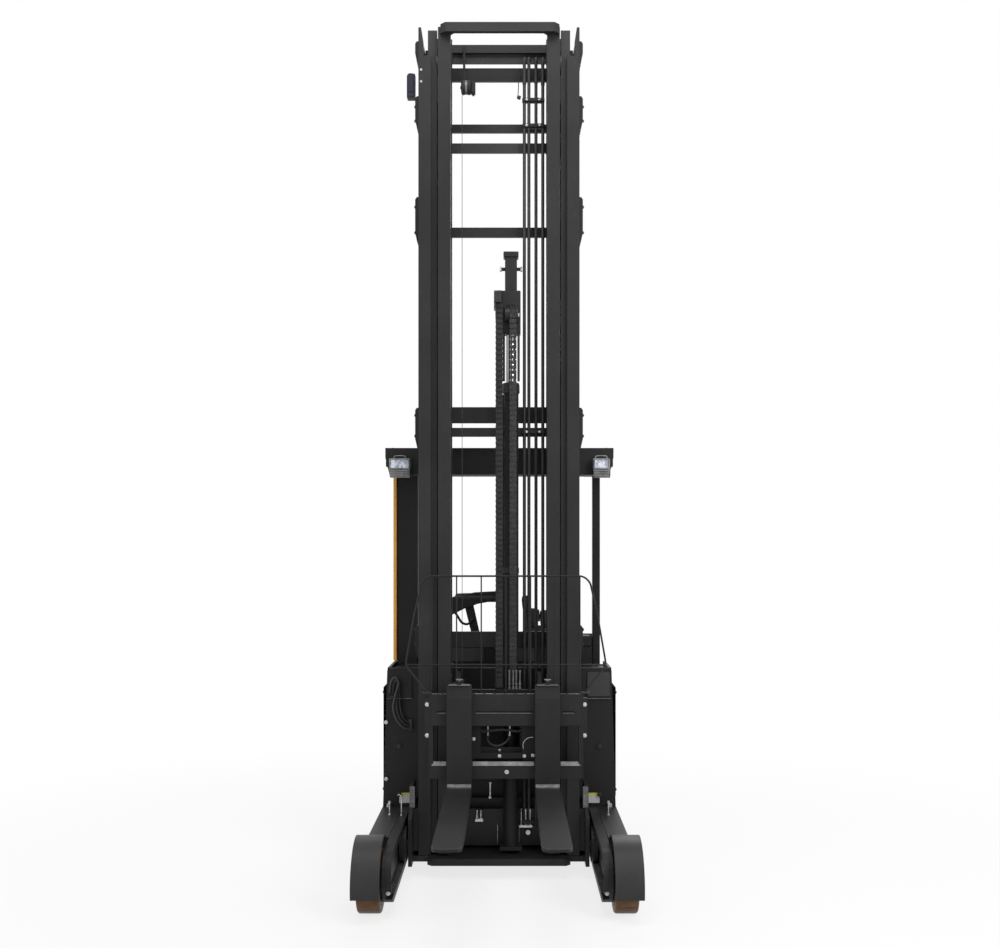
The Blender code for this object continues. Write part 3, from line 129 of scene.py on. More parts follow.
class Finish(Graph):
    """A material: a Principled shader, with the patterns that feed it."""

    def __init__(self, name, colour, rough, metal=0.0, **fixed):
        self.mat = bpy.data.materials.new(name)
        self.mat.use_nodes = True
        super().__init__(self.mat.node_tree)
        start = {"Base Color": (*colour, 1.0), "Roughness": rough, "Metallic": metal}
        start.update({key.replace("_", " "): value for key, value in fixed.items()})
        self.shader = self.add("ShaderNodeBsdfPrincipled", None, start)
        self.add("ShaderNodeOutputMaterial", None, {"Surface": self.shader})
        self.place = self.add("ShaderNodeTexCoord").out("Object")
        self.mat.diffuse_color = (*colour, 1.0)

    def stretched(self, scale):
        return self.add("ShaderNodeMapping", None, {"Vector": self.place, "Scale": scale})

    def noise(self, scale, detail=3.0, where=None):
        values = {"Vector": where or self.place, "Scale": scale, "Detail": detail, "Roughness": 0.55}
        return self.add("ShaderNodeTexNoise", None, values)

    def cells(self, scale, feature="F1"):
        return self.add("ShaderNodeTexVoronoi", {"feature": feature}, {"Vector": self.place, "Scale": scale})

    def waves(self, scale, direction, distortion=0.0):
        return self.add("ShaderNodeTexWave", {"bands_direction": direction},
                        {"Vector": self.place, "Scale": scale, "Distortion": distortion})

    def part(self, axis):
        return self.add("ShaderNodeSeparateXYZ", None, {0: self.place}).out(axis)

    def edge(self, radius):
        """1 on edges that are rounder than the flat face beside them."""
        soft = self.add("ShaderNodeBevel", {"samples": 3}, {"Radius": radius})
        flat = self.add("ShaderNodeNewGeometry").out("Normal")
        cosine = self.add("ShaderNodeVectorMath", {"operation": "DOT_PRODUCT"}, {0: soft, 1: flat})
        return cosine.out("Value").below(0.8, 0.995)

    def mixed(self, mask, first, second):
        """first where the mask is 0, second where it is 1."""
        values = {"Factor": mask}
        for key, colour in (("A", first), ("B", second)):
            values[key] = colour if isinstance(colour, Signal) else (*colour, 1.0)
        return self.add("ShaderNodeMix", {"data_type": "RGBA"}, values)

    def feed(self, socket, signal):
        self.tree.links.new(signal.socket, self.shader.node.inputs[socket])
        return self

    def bump(self, height, distance, strength=1.0, rounded=0.0):
        values = {"Height": height, "Distance": distance, "Strength": strength}
        if rounded:
            values["Normal"] = self.add("ShaderNodeBevel", {"samples": 3}, {"Radius": rounded})
        return self.feed("Normal", self.add("ShaderNodeBump", None, values))


def powder_coat(name, colour, rough, dust=0.25):
    """Satin powder coat: fine orange peel, cloudy tone, faint dust and rubbed edges."""
    f = Finish(name, colour, rough, 0.0, Specular_IOR_Level=0.2)
    cloud = f.noise(2.6, 4.0)
    grain = f.noise(420.0, 2.0)
    streaks = f.noise(9.0, 4.0, f.stretched((14.0, 14.0, 0.7)))
    dusty = f.noise(38.0, 6.0).above(0.52, 0.78) * dust * cloud.above(0.35, 0.7)
    worn = f.edge(0.0022) * f.noise(70.0, 5.0).above(0.5, 0.66)
    lighter = tuple(c * 1.18 + 0.001 for c in colour)
    darker = tuple(c * 0.84 for c in colour)
    tone = f.mixed(cloud.above(0.3, 0.7) * 0.8 + streaks.above(0.5, 0.75) * 0.2, darker, lighter)
    tone = f.mixed(dusty * 0.5, tone, (0.09, 0.086, 0.08))
    tone = f.mixed(worn * 0.4, tone, (0.13, 0.13, 0.13))
    f.feed("Base Color", tone)
    f.feed("Roughness", streaks * 0.14 + rough - 0.07 + dusty * 0.5 - worn * 0.12)
    f.bump(grain, 0.00022, 0.5, 0.0018)
    return f.mat


def steel(name, colour, rough, metal, scale=1.0):
    """Machined or rolled steel: fine scratches, oil and darker patches."""
    f = Finish(name, colour, rough, metal)
    patch = f.noise(14.0 * scale, 5.0)
    lines = f.noise(60.0 * scale, 3.0, f.stretched((1.0, 1.0, 0.04)))
    fine = f.noise(700.0, 2.0)
    dark = tuple(c * 0.55 for c in colour)
    light = tuple(min(1.0, c * 1.25) for c in colour)
    f.feed("Base Color", f.mixed(patch.above(0.35, 0.7) * 0.7 + lines * 0.3, dark, light))
    f.feed("Roughness", patch * 0.22 + lines * 0.12 + rough - 0.14)
    f.bump(fine + lines, 0.00008, 0.5, 0.001)
    return f.mat


def bright_rod(name):
    """Hard chrome: nearly a mirror, with a film of oil and hairline rings."""
    f = Finish(name, (0.5, 0.5, 0.51), 0.1, 1.0)
    oil = f.noise(26.0, 4.0, f.stretched((1.0, 1.0, 0.35)))
    rings = f.noise(900.0, 1.0, f.stretched((0.05, 0.05, 1.0)))
    f.feed("Base Color", f.mixed(oil.above(0.5, 0.8) * 0.6, (0.5, 0.5, 0.51), (0.24, 0.23, 0.21)))
    f.feed("Roughness", oil * 0.22 + rings * 0.05 + 0.02)
    f.bump(rings, 0.00002, 0.4)
    return f.mat


def cast_tread(name):
    """Brown polyurethane: cloudy, with pressed-in grit and scuffed running face."""
    f = Finish(name, (0.105, 0.062, 0.036), 0.42, 0.0, Specular_IOR_Level=0.12)
    cloud = f.noise(22.0, 4.0)
    grit = f.cells(360.0).below(0.1, 0.26) * f.noise(90.0, 3.0).above(0.5, 0.6)
    scuff = f.noise(30.0, 6.0, f.stretched((0.25, 3.0, 3.0))).above(0.5, 0.72)
    tone = f.mixed(cloud.above(0.3, 0.72), (0.098, 0.05, 0.023), (0.15, 0.08, 0.04))
    tone = f.mixed(scuff * 0.45, tone, (0.055, 0.04, 0.03))
    tone = f.mixed(grit * 0.4, tone, (0.16, 0.14, 0.11))
    f.feed("Base Color", tone)
    f.feed("Roughness", cloud * 0.2 + 0.28 + scuff * 0.25)
    f.bump(scuff * -0.6 + grit + f.noise(260.0, 3.0) * 0.4, 0.0005, 0.6)
    return f.mat


def grained_plastic(name, colour, rough, size=520.0):
    """Moulded plastic with a leather-like grain and worn gloss where hands rub."""
    f = Finish(name, colour, rough, 0.0, Specular_IOR_Level=0.25)
    grain = f.cells(size, feature="SMOOTH_F1")
    rub = f.noise(7.0, 4.0).above(0.48, 0.7)
    light = tuple(c * 1.5 + 0.004 for c in colour)
    f.feed("Base Color", f.mixed(f.noise(5.0, 3.0).above(0.3, 0.7), colour, light))
    f.feed("Roughness", rough - rub * 0.16 + grain * 0.1)
    f.bump(grain, 0.00028, 0.55, 0.0012)
    return f.mat


def woven_cloth(name):
    """Seat cover: a twill of two dark yarns, a little fluff and flattened seats."""
    f = Finish(name, (0.03, 0.03, 0.033), 0.88, 0.0, Sheen_Weight=0.25, Sheen_Roughness=0.5)
    warp = f.waves(230.0, "X", distortion=0.6)
    weft = f.waves(230.0, "Y", distortion=0.6)
    rise = f.waves(230.0, "Z", distortion=0.6)
    yarn = warp * weft + rise * 0.5
    flat = f.noise(6.0, 3.0).above(0.4, 0.7)
    tone = f.mixed(yarn.above(0.25, 0.8), (0.018, 0.018, 0.02), (0.06, 0.06, 0.066))
    tone = f.mixed(f.noise(900.0, 2.0).above(0.62, 0.75) * 0.5, tone, (0.11, 0.11, 0.12))
    f.feed("Base Color", tone)
    f.feed("Roughness", 0.92 - flat * 0.1)
    f.bump(yarn, 0.00045, 0.7)
    return f.mat


def hose_rubber(name, colour=(0.018, 0.018, 0.019)):
    """Braid-covered rubber hose, matt, dusty on top."""
    f = Finish(name, colour, 0.62)
    braid = f.cells(800.0)
    chalk = f.noise(30.0, 5.0, f.stretched((1.0, 1.0, 0.15))).above(0.5, 0.75)
    f.feed("Base Color", f.mixed(chalk * 0.5, colour, (0.075, 0.073, 0.07)))
    f.feed("Roughness", braid * 0.12 + 0.52 + chalk * 0.12)
    f.bump(braid, 0.0002, 0.5)
    return f.mat


def coloured_paint(name, colour, rough=0.38):
    """Gloss paint with a slight orange peel and chipped edges."""
    f = Finish(name, colour, rough, 0.0, Coat_Weight=0.25, Coat_Roughness=0.2)
    cloud = f.noise(6.0, 4.0)
    chips = f.edge(0.002) * f.noise(120.0, 4.0).above(0.55, 0.62)
    tone = f.mixed(cloud.above(0.3, 0.75), tuple(c * 0.86 for c in colour), colour)
    f.feed("Base Color", f.mixed(chips, tone, (0.05, 0.045, 0.04)))
    f.feed("Roughness", cloud * 0.12 + rough - 0.05 + chips * 0.3)
    f.bump(f.noise(240.0, 2.0) - chips * 0.8, 0.00025, 0.5, 0.0015)
    return f.mat


def lamp_glass(name):
    """A lamp's front: clear bluish cover with vertical flutes, its colour painted with bright reflector glints and
    lighter flute bands.
    """
    f = Finish(name, (0.62, 0.66, 0.72), 0.08, 0.35, Coat_Weight=0.6)
    flutes = f.waves(95.0, "X")
    painted_glint = f.noise(60.0, 2.0).above(0.42, 0.62)
    # painted reflection: bright patches and flute bands in the colour stand in for the reflectors' glints
    f.feed("Base Color", f.mixed(painted_glint * 0.6 + flutes * 0.2, (0.2, 0.23, 0.29), (0.78, 0.82, 0.9)))
    f.feed("Roughness", flutes * 0.16 + 0.05)
    f.bump(flutes, 0.0006, 0.5)
    return f.mat


def blank_label(name, band):
    """A sticker with a coloured band across its top and nothing written on it."""
    f = Finish(name, (0.62, 0.62, 0.62), 0.45)
    up = f.part("Z")
    top = up.above(band - 0.001, band + 0.001)
    worn = f.noise(160.0, 4.0).above(0.56, 0.7) * 0.5
    tone = f.mixed(top, (0.58, 0.56, 0.57), (0.62, 0.55, 0.06))
    f.feed("Base Color", f.mixed(worn, tone, (0.28, 0.27, 0.26)))
    f.feed("Roughness", worn * 0.4 + 0.36)
    f.bump(f.noise(90.0, 2.0), 0.0002, 0.3)
    return f.mat


FINISHES = {
    "mast_paint": powder_coat("mast_paint_satin", (0.0205, 0.0205, 0.021), 0.44),
    "body_paint": powder_coat("body_paint_satin", (0.015, 0.015, 0.0154), 0.5),
    "dark_steel": steel("dark_steel_rolled", (0.026, 0.026, 0.027), 0.46, 0.22),
    "chrome": bright_rod("hard_chrome"),
    "polyurethane": cast_tread("cast_tread_brown"),
    "orange_paint": coloured_paint("pillar_orange", (0.84, 0.4, 0.05)),
    "black_plastic": grained_plastic("black_plastic_grained", (0.014, 0.014, 0.015), 0.6),
    "seat_cloth": woven_cloth("seat_twill"),
    "rubber_hose": hose_rubber("hose_rubber"),
    "lamp_silver": steel("lamp_silver_cast", (0.27, 0.27, 0.275), 0.46, 0.25, 2.0),
    "zinc": steel("zinc_plated", (0.6, 0.6, 0.585), 0.34, 0.85, 5.0),
    # painted light: a lighter copy of the mast paint, for the middle stage and the wheel covers
    "stage_paint": powder_coat("middle_stage_satin", (0.03, 0.03, 0.0306), 0.44),
    # painted shade: a darker copy of the paint, for the tilt frame, lift carriage and pillars, which lie in shade
    "painted_shade_panel_paint": powder_coat("inside_panel_satin", (0.0095, 0.0095, 0.0098), 0.52),
    # painted light: a lighter paint for dash and shoulder panels, standing in for light on them
    "painted_light_panel": powder_coat("lighter_panel_satin", (0.048, 0.048, 0.0488), 0.5),
    "chain": steel("chain_oiled", (0.036, 0.035, 0.034), 0.42, 0.4, 4.0),
    # painted shadow: near black for the groove and the notches, where shade falls
    "shadow": grained_plastic("pocket_black", (0.006, 0.006, 0.006), 0.75, 300.0),
    "glass": lamp_glass("lamp_glass_fluted"),
    "navy": grained_plastic("sensor_navy", (0.006, 0.007, 0.018), 0.45, 700.0),
    "mat": grained_plastic("floor_mat_rubber", (0.024, 0.024, 0.025), 0.8, 240.0),
    "screen": grained_plastic("screen_dark", (0.01, 0.012, 0.015), 0.22, 1500.0),
    "tail_red": coloured_paint("tail_lens_red", (0.3, 0.012, 0.01), 0.22),
    "label": blank_label("blank_label", 0.344),
    # light steel for small parts, and also painted highlight on edges, chamfers and rims that catch the light
    "bar_light": steel("rubbed_edge_steel", (0.17, 0.17, 0.167), 0.44, 0.5, 2.0),
}


class Shape:
    """A mesh in the making. Closed forms are added to it, each in its place."""

    def __init__(self):
        self.bm = bmesh.new()

    def box(self, x, y, z, bevel=0.0, steps=2):
        made = bmesh.ops.create_cube(self.bm, size=1.0)["verts"]
        bmesh.ops.scale(self.bm, vec=[b - a for a, b in (x, y, z)], verts=made)
        bmesh.ops.translate(self.bm, vec=[(a + b) / 2 for a, b in (x, y, z)], verts=made)
        if bevel:
            edges = list({e for v in made for e in v.link_edges})
            bmesh.ops.bevel(self.bm, geom=edges, offset=bevel, segments=steps, affect="EDGES")
        return self

    def turned(self, profile, start, aim, sides=32):
        """(radius, distance) pairs turned about the line from start along aim."""
        along = Vector(aim).normalized()
        side = along.orthogonal().normalized()
        other = along.cross(side)
        rings = []
        for radius, distance in profile:
            centre = Vector(start) + along * distance
            if radius < 1e-6:
                rings.append([self.bm.verts.new(centre)])
                continue
            ring = []
            for i in range(sides):
                a = math.tau * i / sides
                ring.append(self.bm.verts.new(centre + (side * math.cos(a) + other * math.sin(a)) * radius))
            rings.append(ring)
        if profile[0][0] > 1e-6:
            rings.append(rings[0])
        for low, high in zip(rings, rings[1:]):
            for i in range(sides):
                j = (i + 1) % sides
                corners = [low[i % len(low)], low[j % len(low)], high[j % len(high)], high[i % len(high)]]
                self.bm.faces.new(list(dict.fromkeys(corners)))
        return self

    def rod(self, p, q, radius, sides=24, rim=0.0008):
        length = (Vector(q) - Vector(p)).length
        rim = min(rim, radius * 0.4, length * 0.4)
        profile = [(0.0, 0.0), (radius - rim, 0.0), (radius, rim), (radius, length - rim),
                   (radius - rim, length), (0.0, length)]
        return self.turned(profile, p, Vector(q) - Vector(p), sides)

    def tube(self, points, radius, sides=12):
        """A round bar along points, capped."""
        points = [Vector(p) for p in points]
        rings = []
        side = None
        for i, point in enumerate(points):
            along = (points[min(i + 1, len(points) - 1)] - points[max(i - 1, 0)]).normalized()
            side = along.orthogonal() if side is None else side - along * side.dot(along)
            side.normalize()
            other = along.cross(side)
            ring = []
            for k in range(sides):
                a = math.tau * k / sides
                ring.append(self.bm.verts.new(point + (side * math.cos(a) + other * math.sin(a)) * radius))
            rings.append(ring)
        for low, high in zip(rings, rings[1:]):
            for k in range(sides):
                j = (k + 1) % sides
                self.bm.faces.new((low[k], low[j], high[j], high[k]))
        self.bm.faces.new(rings[0][::-1])
        self.bm.faces.new(rings[-1])
        return self

    def plate(self, plane, points, low, high, bevel=0.0):
        """An outline in the plane xy, xz or yz, given its thickness from low to high."""
        place = {"xy": lambda u, v, w: (u, v, w), "xz": lambda u, v, w: (u, w, v),
                 "yz": lambda u, v, w: (w, u, v)}[plane]
        bottom = [self.bm.verts.new(place(u, v, low)) for u, v in points]
        top = [self.bm.verts.new(place(u, v, high)) for u, v in points]
        faces = [self.bm.faces.new(bottom), self.bm.faces.new(top[::-1])]
        for i in range(len(points)):
            j = (i + 1) % len(points)
            faces.append(self.bm.faces.new((bottom[i], top[i], top[j], bottom[j])))
        if bevel:
            edges = list({e for f in faces for e in f.edges})
            bmesh.ops.bevel(self.bm, geom=edges, offset=bevel, segments=2, affect="EDGES")
        return self

    def stud(self, x, y, low, high, radius, nuts, sides=14):
        """An upright rod with hexagon nuts, each (low, high, radius)."""
        self.rod((x, y, low), (x, y, high), radius, sides)
        for z0, z1, size in nuts:
            self.rod((x, y, z0), (x, y, z1), size, 6)
        return self

    def both_sides(self, x0, x1, *rest):
        """A box on each side of the truck."""
        for _, side in SIDES:
            self.box(sided(side, x0, x1), *rest)
        return self

    def mesh(self, name):
        made = bpy.data.meshes.new(name)
        self.bm.to_mesh(made)
        self.bm.free()
        return made

    def piece(self, name, finish, body="chassis"):
        """The finished object, riding on its body."""
        bmesh.ops.recalc_face_normals(self.bm, faces=self.bm.faces)
        return settle(name, self.mesh(name), finish, body)


def sided(side, x0, x1):
    return sorted((side * x0, side * x1))


def boxes(name, finish, body, *forms):
    """A piece made of boxes, each (x, y, z, bevel) and, if not 2, the bevel's steps."""
    shape = Shape()
    for form in forms:
        shape.box(*form)
    return shape.piece(name, finish, body)


def linked(name, mesh):
    obj = bpy.data.objects.new(name, mesh)
    bpy.context.scene.collection.objects.link(obj)
    return obj


def applied(carrier):
    """The carrier's mesh after its modifiers. The carrier goes."""
    made = bpy.data.meshes.new_from_object(carrier.evaluated_get(bpy.context.evaluated_depsgraph_get()))
    bpy.data.objects.remove(carrier)
    return made


def settle(name, mesh, finish, body, smooth=32.0):
    mesh.materials.clear()
    mesh.materials.append(FINISHES[finish])
    mesh.shade_smooth()
    mesh.set_sharp_from_angle(angle=math.radians(smooth))
    obj = linked(name, mesh)
    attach(obj, body)
    return obj


def arc(cy, cz, radius, start, end, steps):
    """Points on a circle, from start to end in degrees."""
    points = []
    for i in range(steps + 1):
        a = math.radians(start + (end - start) * i / steps)
        points.append((cy + radius * math.cos(a), cz + radius * math.sin(a)))
    return points


def oval(cu, cv, wide, high, count):
    """Points round an oval, without the first one again."""
    turns = [math.tau * i / count for i in range(count)]
    return [(cu + wide * math.cos(a), cv + high * math.sin(a)) for a in turns]


def eased(points, per=8):
    """A smooth path through the points."""
    points = [Vector(p) for p in points]
    ends = [points[0] * 2 - points[1], *points, points[-1] * 2 - points[-2]]
    path = []
    for a, b, c, d in zip(ends, ends[1:], ends[2:], ends[3:]):
        for i in range(per):
            t = i / per
            path.append(0.5 * ((2 * b) + (c - a) * t + (2 * a - 5 * b + 4 * c - d) * t * t
                               + (3 * b - a - 3 * c + d) * t ** 3))
    path.append(points[-1])
    return path


class Pattern(Graph):
    """A Geometry Nodes tree that repeats a form on points or along a path."""

    def __init__(self, name, sizes):
        tree = bpy.data.node_groups.new(name, "GeometryNodeTree")
        super().__init__(tree)
        face = tree.interface
        face.new_socket("Points", in_out="INPUT", socket_type="NodeSocketGeometry")
        self.sizes = sizes
        for key, value in sizes.items():
            kind = "NodeSocketInt" if isinstance(value, int) else "NodeSocketFloat"
            face.new_socket(key, in_out="INPUT", socket_type=kind).default_value = value
        face.new_socket("Finish", in_out="INPUT", socket_type="NodeSocketMaterial")
        face.new_socket("Form", in_out="OUTPUT", socket_type="NodeSocketGeometry")
        self.given = self.add("NodeGroupInput")

    def size(self, name):
        return self.given.out(name)

    def block(self, width, depth, height, rounding):
        """A block with four rounded upright edges, centred."""
        half = height / 2
        line = self.add("GeometryNodeCurvePrimitiveLine", None,
                        {"Start": self.up(half * -1.0), "End": self.up(half)})
        ring = self.add("GeometryNodeCurvePrimitiveQuadrilateral", None, {"Width": width, "Height": depth})
        ring = self.add("GeometryNodeFilletCurve", {"mode": "POLY"},
                        {"Curve": ring, "Count": 3, "Radius": rounding, "Limit Radius": True})
        return self.add("GeometryNodeCurveToMesh", None, {"Curve": line, "Profile Curve": ring, "Fill Caps": True})

    def cylinder(self, radius, depth, sides):
        return self.add("GeometryNodeMeshCylinder", None, {"Vertices": sides, "Radius": radius, "Depth": depth})

    def moved(self, geometry, shift, turn=(0.0, 0.0, 0.0)):
        return self.add("GeometryNodeTransform", None,
                        {"Geometry": geometry, "Translation": shift, "Rotation": turn})

    def joined(self, *parts):
        made = self.add("GeometryNodeJoinGeometry")
        for part in reversed(parts):
            self.tree.links.new(part.socket, made.node.inputs[0])
        return made

    def up(self, value):
        return self.add("ShaderNodeCombineXYZ", None, {"Z": value})

    def aimed(self):
        aim = self.add("GeometryNodeInputNamedAttribute", {"data_type": "FLOAT_VECTOR"}, {"Name": "aim"})
        return self.add("FunctionNodeAlignRotationToVector", {"axis": "Z"}, {"Vector": aim})

    def stepped(self, pitch):
        """Points along the given edges at a pitch, and the turn of the link on each."""
        path = self.add("GeometryNodeMeshToCurve", None, {"Mesh": self.given.out("Points")})
        points = self.add("GeometryNodeResampleCurve", {"mode": "LENGTH"}, {"Curve": path, "Length": pitch})
        tangent = self.add("GeometryNodeInputTangent")
        turn = self.add("FunctionNodeAlignRotationToVector", {"axis": "Z"}, {"Vector": tangent})
        return points, self.add("FunctionNodeAlignRotationToVector", {"axis": "X", "pivot_axis": "Z"},
                                {"Rotation": turn, "Vector": (1.0, 0.0, 0.0)})

    def placed(self, points, form, rotation=None, selection=None):
        values = {"Points": points, "Instance": form}
        if rotation is not None:
            values["Rotation"] = rotation
        if selection is not None:
            values["Selection"] = selection
        return self.add("GeometryNodeInstanceOnPoints", None, values)

    def close(self, form):
        real = self.add("GeometryNodeRealizeInstances", None, {"Geometry": form})
        done = self.add("GeometryNodeSetMaterial", None, {"Geometry": real, "Material": self.size("Finish")})
        self.add("NodeGroupOutput", None, {0: done})
        return self


def bolt_pattern():
    """Hexagon heads on washers, each with a short round tip."""
    p = Pattern("bolt_heads", {"Head radius": 0.008, "Head height": 0.006})
    r, h = p.size("Head radius"), p.size("Head height")
    head = p.moved(p.cylinder(r, h, 6), p.up(h * 0.5 + h * 0.25))
    washer = p.moved(p.cylinder(r * 1.35, h * 0.3, 16), p.up(h * 0.15))
    tip = p.moved(p.cylinder(r * 0.45, h * 0.4, 10), p.up(h * 1.4))
    return p.close(p.placed(p.given.out("Points"), p.joined(head, washer, tip), p.aimed()))


def block_pattern():
    """Rounded blocks on points: fork notches, keys."""
    p = Pattern("rounded_blocks", {"Width": 0.01, "Depth": 0.01, "Height": 0.01, "Rounding": 0.002})
    form = p.block(p.size("Width"), p.size("Depth"), p.size("Height"), p.size("Rounding"))
    return p.close(p.placed(p.given.out("Points"), form, p.aimed()))


def bar_pattern():
    """Round bars along the given edges, their corners bent at a radius."""
    p = Pattern("bent_bars", {"Bar radius": 0.006, "Bend radius": 0.05, "Bend steps": 8, "Sides": 12})
    path = p.add("GeometryNodeMeshToCurve", None, {"Mesh": p.given.out("Points")})
    path = p.add("GeometryNodeFilletCurve", {"mode": "POLY"},
                 {"Curve": path, "Count": p.size("Bend steps"), "Radius": p.size("Bend radius"),
                  "Limit Radius": True})
    ring = p.add("GeometryNodeCurvePrimitiveCircle", None,
                 {"Resolution": p.size("Sides"), "Radius": p.size("Bar radius")})
    return p.close(p.add("GeometryNodeCurveToMesh", None,
                         {"Curve": path, "Profile Curve": ring, "Fill Caps": True}))


def chain_pattern():
    """Leaf chain: pins at a pitch, inner and outer plates by turns."""
    p = Pattern("leaf_chain", {"Pitch": 0.0254, "Plate height": 0.022, "Plate thickness": 0.0035, "Width": 0.034})
    pitch, tall, thick, wide = (p.size(k) for k in ("Pitch", "Plate height", "Plate thickness", "Width"))
    points, turn = p.stepped(pitch)
    pin = p.moved(p.cylinder(tall * 0.24, wide, 10), (0.0, 0.0, 0.0), (0.0, math.pi / 2, 0.0))
    plate = p.block(tall, thick, pitch * 1.72, thick * 0.3)
    plate = p.moved(plate, p.up(pitch * 0.5), (0.0, 0.0, math.pi / 2))
    odd = p.add("GeometryNodeInputIndex").sum_with("MODULO", 2)
    forms = []
    for shares, choice in (((-0.42, -0.14, 0.14, 0.42), odd), ((-0.28, 0.0, 0.28), 1.0 - odd)):
        plates = [p.moved(plate, p.add("ShaderNodeCombineXYZ", None, {"X": wide * s})) for s in shares]
        forms.append(p.placed(points, p.joined(*plates), turn, choice))
    forms.append(p.placed(points, pin, turn))
    return p.close(p.joined(*forms))


def track_pattern():
    """Energy chain: side walls, a ribbed front and open gaps between the links."""
    p = Pattern("hose_track_links", {"Pitch": 0.026, "Width": 0.028, "Depth": 0.0185})
    pitch, wide, deep = (p.size(k) for k in ("Pitch", "Width", "Depth"))
    points, turn = p.stepped(pitch)
    rib = p.block(wide, deep, pitch * 0.46, deep * 0.16)
    core = p.block(wide * 0.86, deep * 0.62, pitch * 1.04, deep * 0.1)
    wall = p.block(wide * 0.12, deep * 0.86, pitch * 0.9, deep * 0.12)
    walls = [p.moved(wall, p.add("ShaderNodeCombineXYZ", None, {"X": wide * s, "Z": pitch * 0.45}))
             for s in (-0.4, 0.4)]
    return p.close(p.placed(points, p.joined(rib, core, *walls), turn))


PATTERNS = {"bolts": bolt_pattern(), "blocks": block_pattern(), "bars": bar_pattern(),
            "chain": chain_pattern(), "track": track_pattern()}


def grown(name, pattern, points, finish, body, aims=None, paths=None, **sizes):
    """A pattern run on points, or along paths, and made a plain mesh."""
    source = bpy.data.meshes.new(name)
    if paths is not None:
        points = [p for path in paths for p in path]
        edges, first = [], 0
        for path in paths:
            edges += [(first + i, first + i + 1) for i in range(len(path) - 1)]
            first += len(path)
        source.from_pydata([tuple(p) for p in points], edges, [])
    else:
        source.from_pydata([tuple(p) for p in points], [], [])
        aims = aims if isinstance(aims, list) else [aims or (0.0, 0.0, 1.0)] * len(points)
        layer = source.attributes.new("aim", "FLOAT_VECTOR", "POINT")
        layer.data.foreach_set("vector", [c for aim in aims for c in aim])
    carrier = linked(name + "_points", source)
    run = carrier.modifiers.new(pattern, "NODES")
    tree = PATTERNS[pattern].tree
    run.node_group = tree
    for item in tree.interface.items_tree:
        if item.item_type != "SOCKET" or item.in_out != "INPUT":
            continue
        key = item.name.replace(" ", "_").lower()
        if item.name == "Finish":
            run[item.identifier] = FINISHES[finish]
        elif key in sizes:
            run[item.identifier] = sizes[key]
    bpy.context.view_layer.update()
    made = applied(carrier)
    bpy.data.meshes.remove(source)
    bm = bmesh.new()
    bm.from_mesh(made)
    bmesh.ops.recalc_face_normals(bm, faces=bm.faces)
    bm.to_mesh(made)
    bm.free()
    made.name = name
    return settle(name, made, finish, body)


def bolts(name, places, finish, body, aim, radius, height):
    return grown(name, "bolts", places, finish, body, aim, head_radius=radius, head_height=height)


def bars(name, paths, finish, body, radius, sides, **bends):
    return grown(name, "bars", None, finish, body, paths=paths, bar_radius=radius, sides=sides, **bends)


CHAIN_PITCH = 0.0254
TRACK_PITCH = 0.026


def chain(name, body, path, tall, thick, wide):
    return grown(name, "chain", None, "chain", body, paths=[path], pitch=CHAIN_PITCH, plate_height=tall,
                 plate_thickness=thick, width=wide)


def track(name, body, path, wide, deep):
    return grown(name, "track", None, "black_plastic", body, paths=[path], pitch=TRACK_PITCH, width=wide,
                 depth=deep)


def background_rays(g):
    """1 for rays that show the background: straight, mirrored or through glass."""
    rays = g.add("ShaderNodeLightPath")
    seen = rays.out("Is Camera Ray").sum_with("MAXIMUM", rays.out("Is Glossy Ray"))
    return seen.sum_with("MAXIMUM", rays.out("Is Transmission Ray"))


